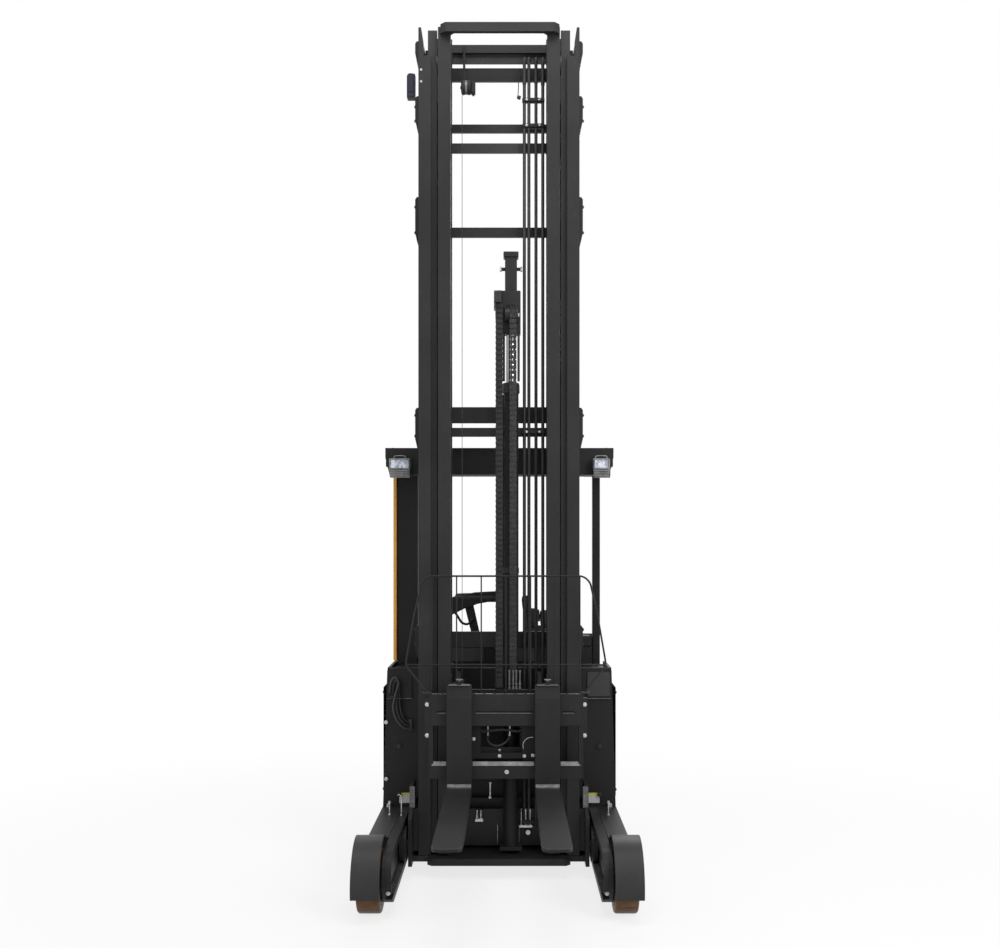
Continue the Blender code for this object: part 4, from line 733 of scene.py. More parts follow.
# Studio: a white floor that keeps the shadow, a white world behind it, soft lamps
def studio():
    cam = bpy.data.cameras.new("photo_camera")
    cam.lens = LENS
    cam.sensor_width = 36.0
    cam.shift_x, cam.shift_y = SHIFT
    holder = linked("photo_camera", cam)
    holder.location = CAMERA_PLACE
    holder.rotation_euler = (math.radians(90.0), 0.0, 0.0)
    bpy.context.scene.camera = holder
    bpy.context.scene.view_settings.view_transform = "Standard"
    world = bpy.data.worlds.new("studio_world")
    bpy.context.scene.world = world
    world.use_nodes = True
    g = Graph(world.node_tree)
    seen = background_rays(g)
    soft = g.add("ShaderNodeBackground", None, {"Color": (1.0, 1.0, 1.0, 1.0), "Strength": 0.42})
    white = g.add("ShaderNodeBackground", None, {"Color": (1.0, 1.0, 1.0, 1.0), "Strength": 1.0})
    both = g.add("ShaderNodeMixShader", None, {0: seen, 1: soft, 2: white})
    g.add("ShaderNodeOutputWorld", None, {"Surface": both})
    mat = bpy.data.materials.new("studio_floor")
    mat.use_nodes = True
    g = Graph(mat.node_tree)
    seen = background_rays(g)
    spot = g.add("ShaderNodeNewGeometry").out("Position")
    far = g.add("ShaderNodeVectorMath", {"operation": "LENGTH"}, {0: spot}).out("Value").above(1.2, 4.5)
    lit = g.add("ShaderNodeBsdfDiffuse", None, {"Color": (0.86, 0.86, 0.86, 1.0)})
    white = g.add("ShaderNodeEmission", None, {"Color": (1.0, 1.0, 1.0, 1.0), "Strength": 1.0})
    share = seen * (far * 0.22 + 0.78)
    both = g.add("ShaderNodeMixShader", None, {0: share, 1: lit, 2: white})
    g.add("ShaderNodeOutputMaterial", None, {"Surface": both})
    mesh = bpy.data.meshes.new("studio_floor")
    mesh.from_pydata([(-40, -40, 0), (40, -40, 0), (40, 40, 0), (-40, 40, 0)], [], [(0, 1, 2, 3)])
    mesh.materials.append(mat)
    floor = linked("studio_floor", mesh)
    # lamp: name, place, aim, width, height, power
    for name, place, aim, wide, high, power in (
            ("key_right", (3.6, -4.2, 4.2), (0.2, 0.0, 1.6), 2.4, 3.6, 180.0),
            ("fill_left", (-4.2, -3.6, 2.6), (0.0, 0.0, 1.6), 2.4, 3.6, 50.0),
            ("top_front", (0.0, -1.8, 6.4), (0.0, 0.3, 1.2), 3.0, 2.0, 110.0),
            ("back_rim", (0.6, 4.6, 4.6), (0.0, 0.5, 1.6), 3.4, 3.0, 130.0)):
        lamp = bpy.data.lights.new(name, "AREA")
        lamp.shape = "RECTANGLE"
        lamp.size, lamp.size_y, lamp.energy = wide, high, power
        holder = linked(name, lamp)
        holder.location = place
        holder.rotation_euler = (Vector(aim) - Vector(place)).to_track_quat("-Z", "Y").to_euler()


# Nodes given a lighter or darker copy of their slot's paint: painted light on the middle stage, painted shade on the
# others
LIT_AND_SHADED_FINISH = {"middle_mast": "stage_paint", "tilt_frame": "painted_shade_panel_paint", "lift_carriage": "painted_shade_panel_paint",
                "dash": "body_paint", "fork_left": "body_paint", "fork_right": "body_paint",
                "fork_carriage": "body_paint", "free_lift_barrel": "body_paint",
                "pillar_front_left": "painted_shade_panel_paint", "pillar_front_right": "painted_shade_panel_paint",
                "pillar_rear_left": "painted_shade_panel_paint", "pillar_rear_right": "painted_shade_panel_paint"}


def dress_nodes():
    slots = {m["node"]: m["material_slot"] for m in frame["record"]["subparts"]}
    for name, obj in frame["nodes"].items():
        if not obj.data.materials:
            obj.data.materials.append(None)
        for i in range(len(obj.material_slots)):
            obj.material_slots[i].material = FINISHES[LIT_AND_SHADED_FINISH.get(name, slots[name])]


studio()
dress_nodes()


# Load wheels: hubs with bolts and bearing caps, cast treads, rolled covers
def load_wheels():
    centre = (-0.495, 0.1425)
    rim, radius, middle, half = 0.1122, 0.1425, 0.567, 0.053
    cover_radius = 0.197
    # radius, distance from the middle of the tread
    outline = ((rim, -half), (radius - 0.012, -half), (radius - 0.006, -half + 0.0015),
               (radius - 0.0015, -half + 0.006), (radius, -half + 0.013), (radius, half - 0.013),
               (radius - 0.0015, half - 0.006), (radius - 0.006, half - 0.0015), (radius - 0.012, half), (rim, half))
    for word, side in SIDES:
        body, out = "load_wheel_" + word, (side, 0, 0)
        shape = Shape().turned([(r, a + middle) for r, a in outline], (0.0, *centre), out, 96)
        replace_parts(shape.piece("cast_tread_" + word, "polyurethane", body), "load_wheel_%s_tyre" % word)
        ring = [(side * 0.5795, *p) for p in arc(*centre, 0.056, 0, 300, 5)]
        bolts("hub_bolts_" + word, ring, "zinc", body, out, 0.0065, 0.005)
        cap = Shape().turned([(0.0, 0.0), (0.03, 0.0), (0.034, 0.002), (0.04, 0.0025), (0.04, -0.006),
                              (0.0, -0.006)], (side * 0.6235, *centre), out, 40)
        cap.piece("bearing_cap_" + word, "dark_steel", body)
        cover = Shape()
        outer = arc(*centre, cover_radius, 190, 0, 64)
        inner = arc(*centre, cover_radius - 0.01, 0, 190, 64)
        cover.plate("yz", outer + inner, *sided(side, 0.509, 0.635), 0.0018)
        low_z = centre[1] + cover_radius * math.sin(math.radians(-10.0))
        plate = arc(*centre, 0.1968, 190, 0, 64) + [(centre[0] + 0.1968, low_z)]
        cover.plate("yz", plate, *sided(side, 0.628, 0.635), 0.0012)
        # painted light: the covers take the lighter stage paint
        made = cover.piece("rolled_cover_" + word, "stage_paint")
        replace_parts(made, "wheel_cover_" + word)
        nut = Shape().rod((side * 0.627, *centre), (side * 0.6348, *centre), 0.0155, 6, 0.001)
        nut.rod((side * 0.618, *centre), (side * 0.6292, *centre), 0.024, 28)
        nut.piece("axle_nut_" + word, "zinc")


# Arms: nose bracket and bolt, wear strips in the roller channel, root bolts and rods, blank labels
def arm_details():
    hub, top = (-0.514, 0.171), 0.2874
    for word, side in SIDES:
        nose = Shape()
        nose.plate("yz", arc(*hub, 0.1155, 209, 112, 20) + arc(*hub, 0.1105, 112, 209, 20),
                   *sided(side, 0.4632, 0.4897), 0.0006)
        nose.piece("nose_bracket_" + word, "body_paint")
        bolts("nose_bolt_" + word, [(side * 0.4775, -0.6176, 0.12)], "zinc", "chassis",
              (0.0, -0.897, -0.4415), 0.0075, 0.006)
        lane = (sided(side, 0.464, 0.4895), (-0.5, 0.418))
        boxes("roller_track_" + word, "bar_light", "chassis", (*lane, (0.0852, 0.0862), 0.0004, 1),
              (*lane, (0.2558, 0.2568), 0.0004, 1))
        bead = [(side * 0.5105, -0.322 + 0.0125 * i, 0.2868 + 0.0006 * math.sin(i * 1.7)) for i in range(58)]
        Shape().tube(bead, 0.003, 8).piece("arm_weld_" + word, "body_paint")
        bolts("root_bolt_" + word, [(side * 0.572, 0.325, 0.2872)], "zinc", "chassis", UP, 0.011, 0.013)
        rods = Shape().stud(side * 0.548, 0.13, top, 0.356, 0.003, ((top, 0.295, 0.0075), (0.344, 0.36, 0.0062)))
        if side < 0:
            rods.tube(eased([(-0.488, 0.12, top), (-0.488, 0.12, 0.34), (-0.4885, 0.12, 0.378),
                             (-0.496, 0.12, 0.392), (-0.507, 0.12, 0.39)], 5), 0.0032, 10)
            rods.rod((-0.488, 0.12, top), (-0.488, 0.12, 0.294), 0.007, 6)
        rods.piece("root_rod_" + word, "zinc")
        side_points = [(side * (0.6052 if z < 0.3 else 0.598), 0.33, z) for z in (0.1, 0.24)]
        bolts("arm_side_bolts_" + word, side_points, "zinc", "chassis", (side, 0, 0), 0.009, 0.007)
        boxes("blank_label_" + word, "label", "chassis",
              (sided(side, 0.463, 0.521), (0.3425, 0.3448), (0.303, 0.356), 0.0005, 1))
        boxes("cheek_plate_" + word, "bar_light", "reach",
              (sided(side, 0.418, 0.4445), (0.083, 0.0895), (0.336, 0.442), 0.0015))


# Mast: top rollers, weld beads, ear bolts, sensor case, cylinder heads and bands, feed hoses
def mast_details():
    # name, body, x, y, z, radius, width
    for name, body, x, y, z, radius, width in (
            ("outer_roller", "reach", 0.357, 0.165, 4.06, 0.042, 0.02),
            ("middle_roller", "middle_mast", 0.3065, 0.154, 4.055, 0.052, 0.016)):
        for word, side in SIDES:
            roll = Shape()
            roll.turned([(0.0, -width / 2), (radius * 0.5, -width / 2), (radius * 0.55, -width / 2 + 0.002),
                         (radius * 0.82, -width / 2 + 0.002), (radius * 0.86, -width / 2),
                         (radius - 0.002, -width / 2), (radius, -width / 2 + 0.002),
                         (radius, width / 2 - 0.002), (radius - 0.002, width / 2), (0.0, width / 2)],
                        (side * x, y, z), (side, 0, 0), 40)
            roll.piece(name + "_" + word, "dark_steel", body)
    # for each tie: heights of its two beads on the rail, then its ear's ends
    shape = Shape()
    for b0, b1, e0, e1 in ((4.018, 4.086, 4.06, 4.165), (3.756, 3.798, 3.725, 3.89),
                           (3.22, 3.27, 3.16, 3.385), (2.268, 2.35, 2.13, 2.33),
                           (1.12, 1.2, 1.08, 1.24)):
        for _, side in SIDES:
            for z in (b0, b1):
                bead = [(side * (0.342 - 0.0005 * (i % 2)), 0.2455 + 0.0028 * i, z) for i in range(9)]
                shape.tube(bead, 0.003, 8)
            for z in (e0 + 0.002, e1 - 0.002):
                bead = [(side * 0.4035, 0.145 + 0.006 * i, z + 0.0004 * (i % 2)) for i in range(16)]
                shape.tube(bead, 0.0032, 8)
    shape.piece("tie_welds", "mast_paint", "reach")
    heights = (3.79, 3.862, 3.225, 3.355, 2.195, 2.3, 1.14, 1.215)
    fronts = [(side * 0.4205, 0.19, z) for _, side in SIDES for z in heights]
    bolts("ear_bolts", fronts, "dark_steel", "reach", [(side, 0.0, 0.0) for _, side in SIDES for _ in heights],
          0.008, 0.006)
    bolts("sensor_screws", [(-0.387, 0.0845, z) for z in (4.007, 3.948)], "zinc", "reach", FRONT, 0.0045, 0.003)
    box = Shape()
    box.plate("xz", [(-0.4622, 3.886), (-0.4206, 3.886), (-0.4206, 4.006), (-0.452, 4.0085), (-0.4622, 3.998)],
              0.1262, 0.1758, 0.003)
    box.box((-0.457, -0.427), (0.1235, 0.1275), (3.912, 3.978), 0.0018)
    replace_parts(box.piece("sensor_case", "navy", "reach"), "sensor_box")
    for word, side in SIDES:
        head = Shape()
        x, y = side * 0.36, 0.305
        head.turned([(0.0222, 3.862), (0.0325, 3.862), (0.0335, 3.864), (0.0335, 3.892), (0.031, 3.899),
                     (0.024, 3.899), (0.0222, 3.9)], (x, y, 0.0), UP, 40)
        head.turned([(0.0284, 0.3), (0.03, 0.302), (0.03, 0.338), (0.0284, 0.34)], (x, y, 0.0), UP, 32)
        head.box(sided(side, 0.33, 0.3385), (0.273, 0.3), (1.935, 1.985), 0.002)
        head.piece("lift_cylinder_head_" + word, "dark_steel", "reach")
        band = Shape()
        for z in (1.16, 2.3, 3.24):
            band.turned([(0.0284, z), (0.0312, z), (0.0312, z + 0.028), (0.0284, z + 0.028)], (x, y, 0), UP, 32)
            band.box((x - 0.03, x + 0.03), (0.2715, 0.2815), (z, z + 0.028), 0.0015)
        band.piece("cylinder_bands_" + word, "mast_paint", "reach")
        feed = Shape()
        feed.tube(eased([(x - side * 0.01, y + 0.028, 0.165), (x - side * 0.02, y + 0.04, 0.168),
                         (x - side * 0.055, y + 0.02, 0.175), (x - side * 0.12, 0.3225, 0.17),
                         (side * 0.06, 0.3225, 0.16)], 8), 0.007, 12)
        feed.rod((x - side * 0.008, y + 0.02, 0.165), (x - side * 0.012, y + 0.034, 0.165), 0.011, 6)
        feed.piece("lift_hose_" + word, "rubber_hose", "reach")


# Hoses on the inner stage: round, with end bends, cut sleeves and cushioned clamps
def inner_hoses():
    paths = []
    y = 0.203
    for x in (0.128, 0.151, 0.187, 0.2215):
        paths.append([(x, y, 0.215), (x, y, 4.085), (x, y + 0.004, 4.118)])
    made = bars("mast_hoses_round", paths, "rubber_hose", "inner_mast", 0.0082, 16, bend_radius=0.02)
    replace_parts(made, "mast_hoses")
    clamps = Shape()
    screws = []
    for z in (0.24, 2.217, 3.77, 3.9):
        clamps.box((0.117, 0.2305), (0.1945, 0.2172), (z - 0.012, z + 0.012), 0.003)
        clamps.box((0.117, 0.2305), (0.189, 0.1944), (z - 0.009, z + 0.009), 0.002)
        if z > 1.0:
            screws += [(0.1395, 0.189, z), (0.204, 0.189, z)]
    clamps.piece("hose_clamps", "black_plastic", "inner_mast")
    bolts("clamp_screws", screws, "zinc", "inner_mast", FRONT, 0.0045, 0.003)
    sleeves = Shape()
    for x, top in ((0.128, 4.055), (0.151, 4.065), (0.187, 4.06), (0.2215, 4.05)):
        sleeves.turned([(0.0083, top - 0.075), (0.01, top - 0.073), (0.01, top - 0.002), (0.0083, top)],
                       (x, y, 0.0), UP, 20)
        sleeves.turned([(0.0, top + 0.028), (0.0098, top + 0.028), (0.0098, top + 0.044), (0.0, top + 0.044)],
                       (x, y, 0.0), UP, 6)
    sleeves.piece("hose_ends", "dark_steel", "inner_mast")
    hook = Shape()
    hook.tube(eased([(0.098, 0.206, 4.03), (0.098, 0.202, 3.96), (0.096, 0.2, 3.925), (0.104, 0.199, 3.903),
                     (0.11, 0.2, 3.922)], 6), 0.0022, 8)
    hook.rod((0.099, 0.197, 3.915), (0.099, 0.209, 3.915), 0.009, 20)
    hook.piece("hose_hook", "black_plastic", "inner_mast")


# Height sensor's wire, drum and bracket, with a painted highlight ring on the drum
def height_drum():
    y, z = 0.122, 3.932
    wire_x, wire_y = -0.183, 0.0838
    drum = Shape()
    drum.turned([(0.0, -0.026), (0.022, -0.026), (0.033, -0.022), (0.036, -0.016), (0.033, -0.007),
                 (0.033, 0.007), (0.036, 0.016), (0.033, 0.022), (0.022, 0.026), (0.0, 0.026)],
                (-0.164, y, z), (1, 0, 0), 48)
    drum.box((-0.1395, -0.118), (0.1, 0.146), (z - 0.036, z + 0.03), 0.006)
    drum.box((-0.178, -0.16), (y, 0.2168), (z + 0.02, z + 0.034), 0.003)
    drum.box((-0.184, -0.172), (0.206, 0.217), (z + 0.022, z + 0.248), 0.002)
    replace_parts(drum.piece("height_drum", "black_plastic", "inner_mast"), "wire_pulley")
    # painted highlight: a light ring round the middle of the drum; the small nut at its end is light steel
    rim = Shape().turned([(0.0335, -0.006), (0.0342, -0.004), (0.0342, 0.004), (0.0335, 0.006)],
                         (-0.164, y, z), (1, 0, 0), 48)
    rim.turned([(0.0, 0.0), (0.007, 0.0), (0.007, 0.004), (0.0, 0.004)], (-0.1902, y, z), (-1, 0, 0), 6)
    rim.piece("drum_groove", "bar_light", "inner_mast")
    wire = bars("height_wire", [[(wire_x, wire_y, 1.0), (wire_x, wire_y, z)]], "chain", "inner_mast", 0.0014, 10)
    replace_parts(wire, "wire_strand")
    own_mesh(wire)
    bars("height_wire_end", [[(wire_x, wire_y, 0.965), (wire_x, wire_y, 1.86)]], "chain", "lift_carriage", 0.0013, 10)
    boxes("wire_eye", "dark_steel", "lift_carriage",
          ((-0.194, -0.172), (0.0785, 0.0895), (0.95, 0.978), 0.003),
          ((-0.206, -0.174), (0.0325, 0.086), (0.942, 0.954), 0.0015))


# Free-lift cylinder's head, the crosshead's wheels, the leaf chain and the hose track
def free_lift_details():
    x, y = 0.06, 0.15
    gland = Shape()
    gland.turned([(0.0264, 2.405), (0.0425, 2.405), (0.0435, 2.407), (0.0435, 2.44), (0.0405, 2.4555),
                  (0.03, 2.4555), (0.0264, 2.452)], (x, y, 0.0), UP, 48)
    for z in (1.5, 0.74):
        gland.turned([(0.0382, z), (0.0405, z + 0.002), (0.0405, z + 0.028), (0.0382, z + 0.03)], (x, y, 0.0), UP, 40)
        gland.box((0.02, 0.1), (0.18, 0.235), (z, z + 0.028), 0.002)
    gland.rod((0.019, 0.15, 0.96), (0.019, 0.15, 2.4), 0.0036, 14)
    gland.piece("free_lift_gland", "dark_steel", "inner_mast")
    guides = Shape()
    for gx in (0.024, 0.098):
        guides.rod((gx, 0.112, 2.461), (gx, 0.112, 2.699), 0.0062, 16)
    guides.piece("crosshead_guides", "dark_steel", "crosshead")
    wheel = Shape()
    for gx0, gx1, gy, gz, r, hub in ((0.046, 0.094, 0.11, 2.79, 0.0405, 0.016),
                                     (-0.018, 0.0115, 0.13, 2.83, 0.056, 0.018)):
        mid, half = (gx0 + gx1) / 2, (gx1 - gx0) / 2
        wheel.turned([(0.0, -half), (hub, -half), (hub + 0.002, -half + 0.004), (r * 0.78, -half + 0.004),
                      (r * 0.84, -half), (r, -half), (r, -half + 0.0035), (r - 0.006, -half + 0.006),
                      (r - 0.006, half - 0.006), (r, half - 0.0035), (r, half), (r * 0.84, half),
                      (r * 0.78, half - 0.004), (hub + 0.002, half - 0.004), (hub, half), (0.0, half)],
                     (mid, gy, gz), (1, 0, 0), 56)
    wheel.piece("crosshead_wheels", "dark_steel", "crosshead")
    pins = Shape()
    for x0, x1, y, z, radius in ((0.004, 0.0125, 0.15, 3.03, 0.013), (0.1075, 0.117, 0.15, 3.03, 0.013),
                                 (0.094, 0.102, 0.11, 2.79, 0.011), (-0.026, -0.018, 0.13, 2.83, 0.012)):
        pins.rod((x0, y, z), (x1, y, z), radius, 6)
    pins.piece("crosshead_pins", "zinc", "crosshead")
    guard = (0.13, 2.83)
    cap = Shape()
    outer = arc(*guard, 0.088, 172, 20, 22)
    cap.plate("yz", outer + arc(*guard, 0.083, 20, 172, 22), -0.021, 0.0135, 0.001)
    cap.plate("yz", outer + [(0.15, 2.82)], -0.0245, -0.0215, 0.0008)
    cap.piece("track_guard", "black_plastic", "crosshead")
    strand = chain("leaf_chain_front", "crosshead", [(0.07, 0.0684, 0.975 + 0.0254 * i) for i in range(72)],
                   0.0185, 0.0046, 0.035)
    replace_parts(strand, "lift_chain")
    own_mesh(strand)
    chain("leaf_chain_top", "crosshead", [(0.07, *p) for p in arc(0.11, 2.79, 0.0418, 180, 8, 12)],
          0.0185, 0.0026, 0.033)
    chain("leaf_chain_end", "lift_carriage", [(0.07, 0.069, 0.972), (0.07, 0.069, 1.396)], 0.0175, 0.0024, 0.034)
    strand = track("hose_track_front", "crosshead", [(0.001, 0.065, 0.972), (0.001, 0.065, 2.828)], 0.036, 0.019)
    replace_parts(strand, "hose_track")
    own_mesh(strand)
    track("hose_track_top", "crosshead", [(-0.003, *p) for p in arc(*guard, 0.066, 180, 25, 14)], 0.029, 0.0185)
    track("hose_track_end", "lift_carriage", [(0.001, 0.0655, 0.965), (0.001, 0.0655, 1.4)], 0.0345, 0.0175)
    boxes("track_foot", "black_plastic", "lift_carriage", ((-0.018, 0.02), (0.0545, 0.076), (0.935, 0.975), 0.003))


# Chain anchors, hoses and sheave on the lift carriage; on the fork carriage painted shadow in the groove and notches,
# painted highlights on the groove's lip and the chamfers, and bolts
def carriage_details():
    anchors = Shape()
    for ax in (0.052, 0.071, 0.086, 0.104):
        anchors.stud(ax, 0.048, 0.925, 1.022, 0.0036,
                     ((0.93, 0.944, 0.0062), (0.952, 0.96, 0.0062), (1.012, 1.024, 0.0054)))
    anchors.piece("chain_anchor_rods", "bar_light", "lift_carriage")
    boxes("anchor_yoke", "mast_paint", "lift_carriage", ((0.044, 0.113), (0.034, 0.074), (0.916, 0.9315), 0.002),
          ((0.05, 0.09), (0.058, 0.078), (0.93, 0.978), 0.002))
    fittings = Shape()
    for fx in (-0.054, 0.054):
        fittings.stud(fx, 0.046, 0.704, 0.786, 0.0042, ((0.752, 0.764, 0.0085), (0.699, 0.709, 0.0065)))
    for fx, y, z, radius in ((-0.118, 0.028, 0.706, 0.008), (0.004, 0.028, 0.632, 0.007),
                             (0.124, 0.026, 0.628, 0.008)):
        fittings.rod((fx, y, z), (fx, 0.034, z), radius, 6)
    fittings.piece("hose_fittings", "zinc", "lift_carriage")
    plate = Shape()
    plate.box((-0.15, 0.17), (0.034, 0.04), (0.605, 0.646), 0.002)
    plate.box((-0.146, -0.092), (0.034, 0.04), (0.605, 0.728), 0.002)
    sheave = (0.16, 0.03, 0.668)
    plate.turned([(0.0, 0.0), (0.018, 0.0), (0.022, -0.006), (0.046, -0.006), (0.05, -0.01), (0.0565, -0.01),
                  (0.0565, 0.012), (0.0, 0.012)], sheave, (0, 1, 0), 56)
    plate.box((0.104, 0.196), (0.04, 0.055), (0.62, 0.716), 0.003)
    plate.piece("valve_plate", "mast_paint", "lift_carriage")
    ring = Shape().turned([(0.0405, -0.0115), (0.043, -0.0115), (0.043, -0.0095), (0.0405, -0.0095)],
                          sheave, (0, 1, 0), 56)
    ring.rod((0.16, 0.0165, 0.632), (0.16, 0.0245, 0.632), 0.0105, 6)
    ring.piece("sheave_ring", "zinc", "lift_carriage")
    loops = [
        [(-0.054, 0.045, 0.701), (-0.056, 0.038, 0.682), (-0.04, 0.03, 0.662), (-0.01, 0.026, 0.654),
         (0.022, 0.03, 0.663), (0.046, 0.038, 0.684), (0.054, 0.045, 0.701)],
        [(-0.12, 0.05, 0.74), (-0.08, 0.034, 0.722), (-0.03, 0.03, 0.728), (0.03, 0.03, 0.732),
         (0.1, 0.034, 0.724), (0.14, 0.05, 0.745)],
        [(-0.008, 0.074, 0.94), (-0.012, 0.072, 0.905), (-0.03, 0.068, 0.86), (-0.07, 0.064, 0.8),
         (-0.1, 0.06, 0.752)],
        [(0.004, 0.074, 0.94), (0.004, 0.074, 0.9), (0.03, 0.07, 0.85), (0.08, 0.066, 0.8),
         (0.13, 0.062, 0.752)]]
    hoses = Shape()
    for path in loops:
        hoses.tube(eased(path, 8), 0.0052, 12)
    hoses.piece("carriage_hoses", "rubber_hose", "lift_carriage")
    for word, side in SIDES:
        cap = Shape()
        for z in (0.6, 0.93):
            cap.turned([(0.0, 0.0), (0.012, 0.0), (0.014, 0.0015), (0.03, 0.0015), (0.034, 0.0), (0.06, 0.0),
                        (0.0622, -0.002), (0.0, -0.002)], (side * 0.2812, 0.154, z), (side, 0, 0), 40)
        cap.piece("carriage_roller_caps_" + word, "bar_light", "lift_carriage")
    # painted shadow: near-black strips at the bottom of the groove cut; painted highlight: light lines along its lip
    groove = Shape()
    lip_highlights = Shape()
    for x0, x1 in ((-0.299, -0.256), (-0.114, 0.164), (0.311, 0.364)):
        groove.box((x0, x1), (-0.0612, -0.0594), (0.8294, 0.8376), 0.0)
        lip_highlights.box((x0, x1), (-0.066, -0.064), (0.826, 0.829), 0.0008, 1)
    groove.piece("bar_groove", "shadow", "side_shift")
    lip_highlights.piece("groove_lip", "bar_light", "side_shift")
    heads = [(x, -0.0588, z) for x in (-0.347, 0.417) for z in (0.869, 0.719)] + [(0.039, -0.0649, 0.543)]
    bolts("carriage_bolts", heads, "zinc", "side_shift", FRONT, 0.0078, 0.006)
    # painted highlight: light strips on the bars' lower chamfer and along the top bar's front edge
    chamfer_highlights = Shape()
    for x0, x1 in ((-0.325, -0.255), (-0.125, 0.171), (0.301, 0.395)):
        chamfer_highlights.plate("yz", [(-0.0653, 0.5728), (-0.053, 0.5913), (-0.0522, 0.59), (-0.064, 0.5722)], x0, x1)
        chamfer_highlights.box((x0, x1), (-0.0652, -0.036), (0.9193, 0.9208), 0.0006, 1)
    chamfer_highlights.piece("bar_edges", "bar_light", "side_shift")
    # painted shadow: near-black blocks where the notches are
    places = (-0.27, -0.22, -0.17, -0.12, -0.07, -0.02, 0.03, 0.08, 0.13, 0.18, 0.23, 0.28, 0.33)
    notch_places = [(x, -0.048, 0.9215) for x in places]
    grown("fork_notches", "blocks", notch_places, "shadow", "side_shift", UP, width=0.014, depth=0.026,
          height=0.003, rounding=0.003)


# Forks: rubbed tips, painted highlights on the heels, and locking pins
def fork_details():
    for word, x in (("left", -0.19), ("right", 0.236)):
        pin = Shape()
        pin.rod((x, -0.081, 0.96), (x, -0.081, 0.992), 0.006, 18)
        pin.rod((x - 0.016, -0.081, 0.991), (x + 0.016, -0.081, 0.991), 0.0042, 12)
        pin.box((x - 0.052, x + 0.052), (-0.1048, -0.048), (0.9652, 0.9672), 0.0008, 1)
        pin.piece("fork_lock_" + word, "bar_light", "side_shift")
        # painted highlight: a light strip on the heel's bend
        edge = Shape()
        heel = [(-0.1203, 0.4757), (-0.1103, 0.4797), (-0.1064, 0.4865), (-0.106, 0.4915),
                (-0.1052, 0.4915), (-0.1053, 0.4862), (-0.1092, 0.4788), (-0.1195, 0.475)]
        edge.plate("yz", heel, x - 0.0575, x + 0.0575)
        edge.piece("fork_heel_" + word, "bar_light", "side_shift")
        lip = Shape()
        rim = [(x - 0.0575, -1.205), (x - 0.052, -1.232), (x - 0.038, -1.2437), (x + 0.038, -1.2437),
               (x + 0.052, -1.232), (x + 0.0575, -1.205)]
        lip.tube([(a, b, 0.474) for a, b in rim], 0.0012, 8)
        lip.piece("fork_tip_" + word, "bar_light", "side_shift")


# Load guard: round bars with bent corners and welded uprights
def load_guard():
    y, mid = -0.0385, 0.035
    sides = ((0.9263, 0.384), (1.058, 0.488), (1.3, 0.446), (1.46, 0.41), (1.491, 0.378))
    left = [(mid - w, y, z) for z, w in sides]
    right = [(mid + w, y, z) for z, w in reversed(sides)]
    frame_bar = bars("guard_frame", [left + right], "body_paint", "side_shift", 0.0046, 16, bend_radius=0.055,
                     bend_steps=10)
    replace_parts(frame_bar, "load_guard")
    paths = [[(mid - 0.486, y, 1.06), (mid + 0.486, y, 1.06)]]
    paths += [[(mid + 0.12 * i, y, 0.922), (mid + 0.12 * i, y, 1.491)] for i in range(-3, 4)]
    bars("guard_bars", paths, "body_paint", "side_shift", 0.0034, 12, bend_radius=0.01)
    feet = Shape()
    for x in (mid - 0.384, mid + 0.384):
        feet.box((x - 0.024, x + 0.024), (-0.052, -0.0325), (0.9205, 0.9285), 0.0015)
    feet.piece("guard_feet", "dark_steel", "side_shift")


# Body: painted highlights along the cover edges, bolts, battery leads with their clip, handles of the battery cover
def body_details():
    # painted highlight: light strips along the cover's top edges
    edge = Shape()
    edge.both_sides(0.401, 0.562, (0.3605, 0.365), (0.989, 0.9906), 0.0006, 1)
    edge.both_sides(0.452, 0.58, (0.3312, 0.3332), (0.8455, 0.8485), 0.0006, 1)
    edge.piece("cover_edge", "bar_light")
    front = 0.3328
    bolts("side_bolts", [(-0.588, front, z) for z in (0.724, 0.43)], "zinc", "chassis", FRONT, 0.0075, 0.0065)
    bolts("bulkhead_bolts", [(x, front, z) for x in (-0.52, 0.52) for z in (0.35, 0.6)],
          "dark_steel", "chassis", FRONT, 0.009, 0.006)
    loops = Shape()
    for shift, depth in ((0.0, 0.3), (0.016, 0.309), (0.032, 0.318)):
        path = [(-0.566 + shift, depth + 0.018, 0.88), (-0.56 + shift, depth + 0.004, 0.93),
                (-0.54 + shift * 0.7, depth, 0.958 - shift), (-0.52 + shift * 0.2, depth + 0.004, 0.93 - shift),
                (-0.536 + shift * 0.6, depth - 0.002, 0.868), (-0.546 + shift, depth, 0.8 + shift * 0.4),
                (-0.528 + shift * 0.8, depth, 0.74 + shift * 0.6),
                (-0.492 + shift * 0.3, depth + 0.004, 0.7 + shift), (-0.466, depth + 0.01, 0.69 + shift)]
        loops.tube(eased(path, 6), 0.0072, 12)
    loops.piece("battery_leads", "rubber_hose")
    boxes("lead_clip", "dark_steel", "chassis", ((-0.572, -0.5), (0.3258, 0.3332), (0.846, 0.86), 0.0015),
          ((-0.572, -0.5), (0.29, 0.3258), (0.85, 0.8535), 0.001, 1),
          ((-0.472, -0.452), (0.323, 0.3332), (0.68, 0.74), 0.002))
    handles = Shape()
    for x in (-0.3, 0.3):
        handles.tube(eased([(x - 0.05, 0.48, 0.9885), (x - 0.05, 0.48, 1.012), (x + 0.05, 0.48, 1.012),
                            (x + 0.05, 0.48, 0.9885)], 5), 0.005, 12)
    handles.piece("cover_handles", "dark_steel")


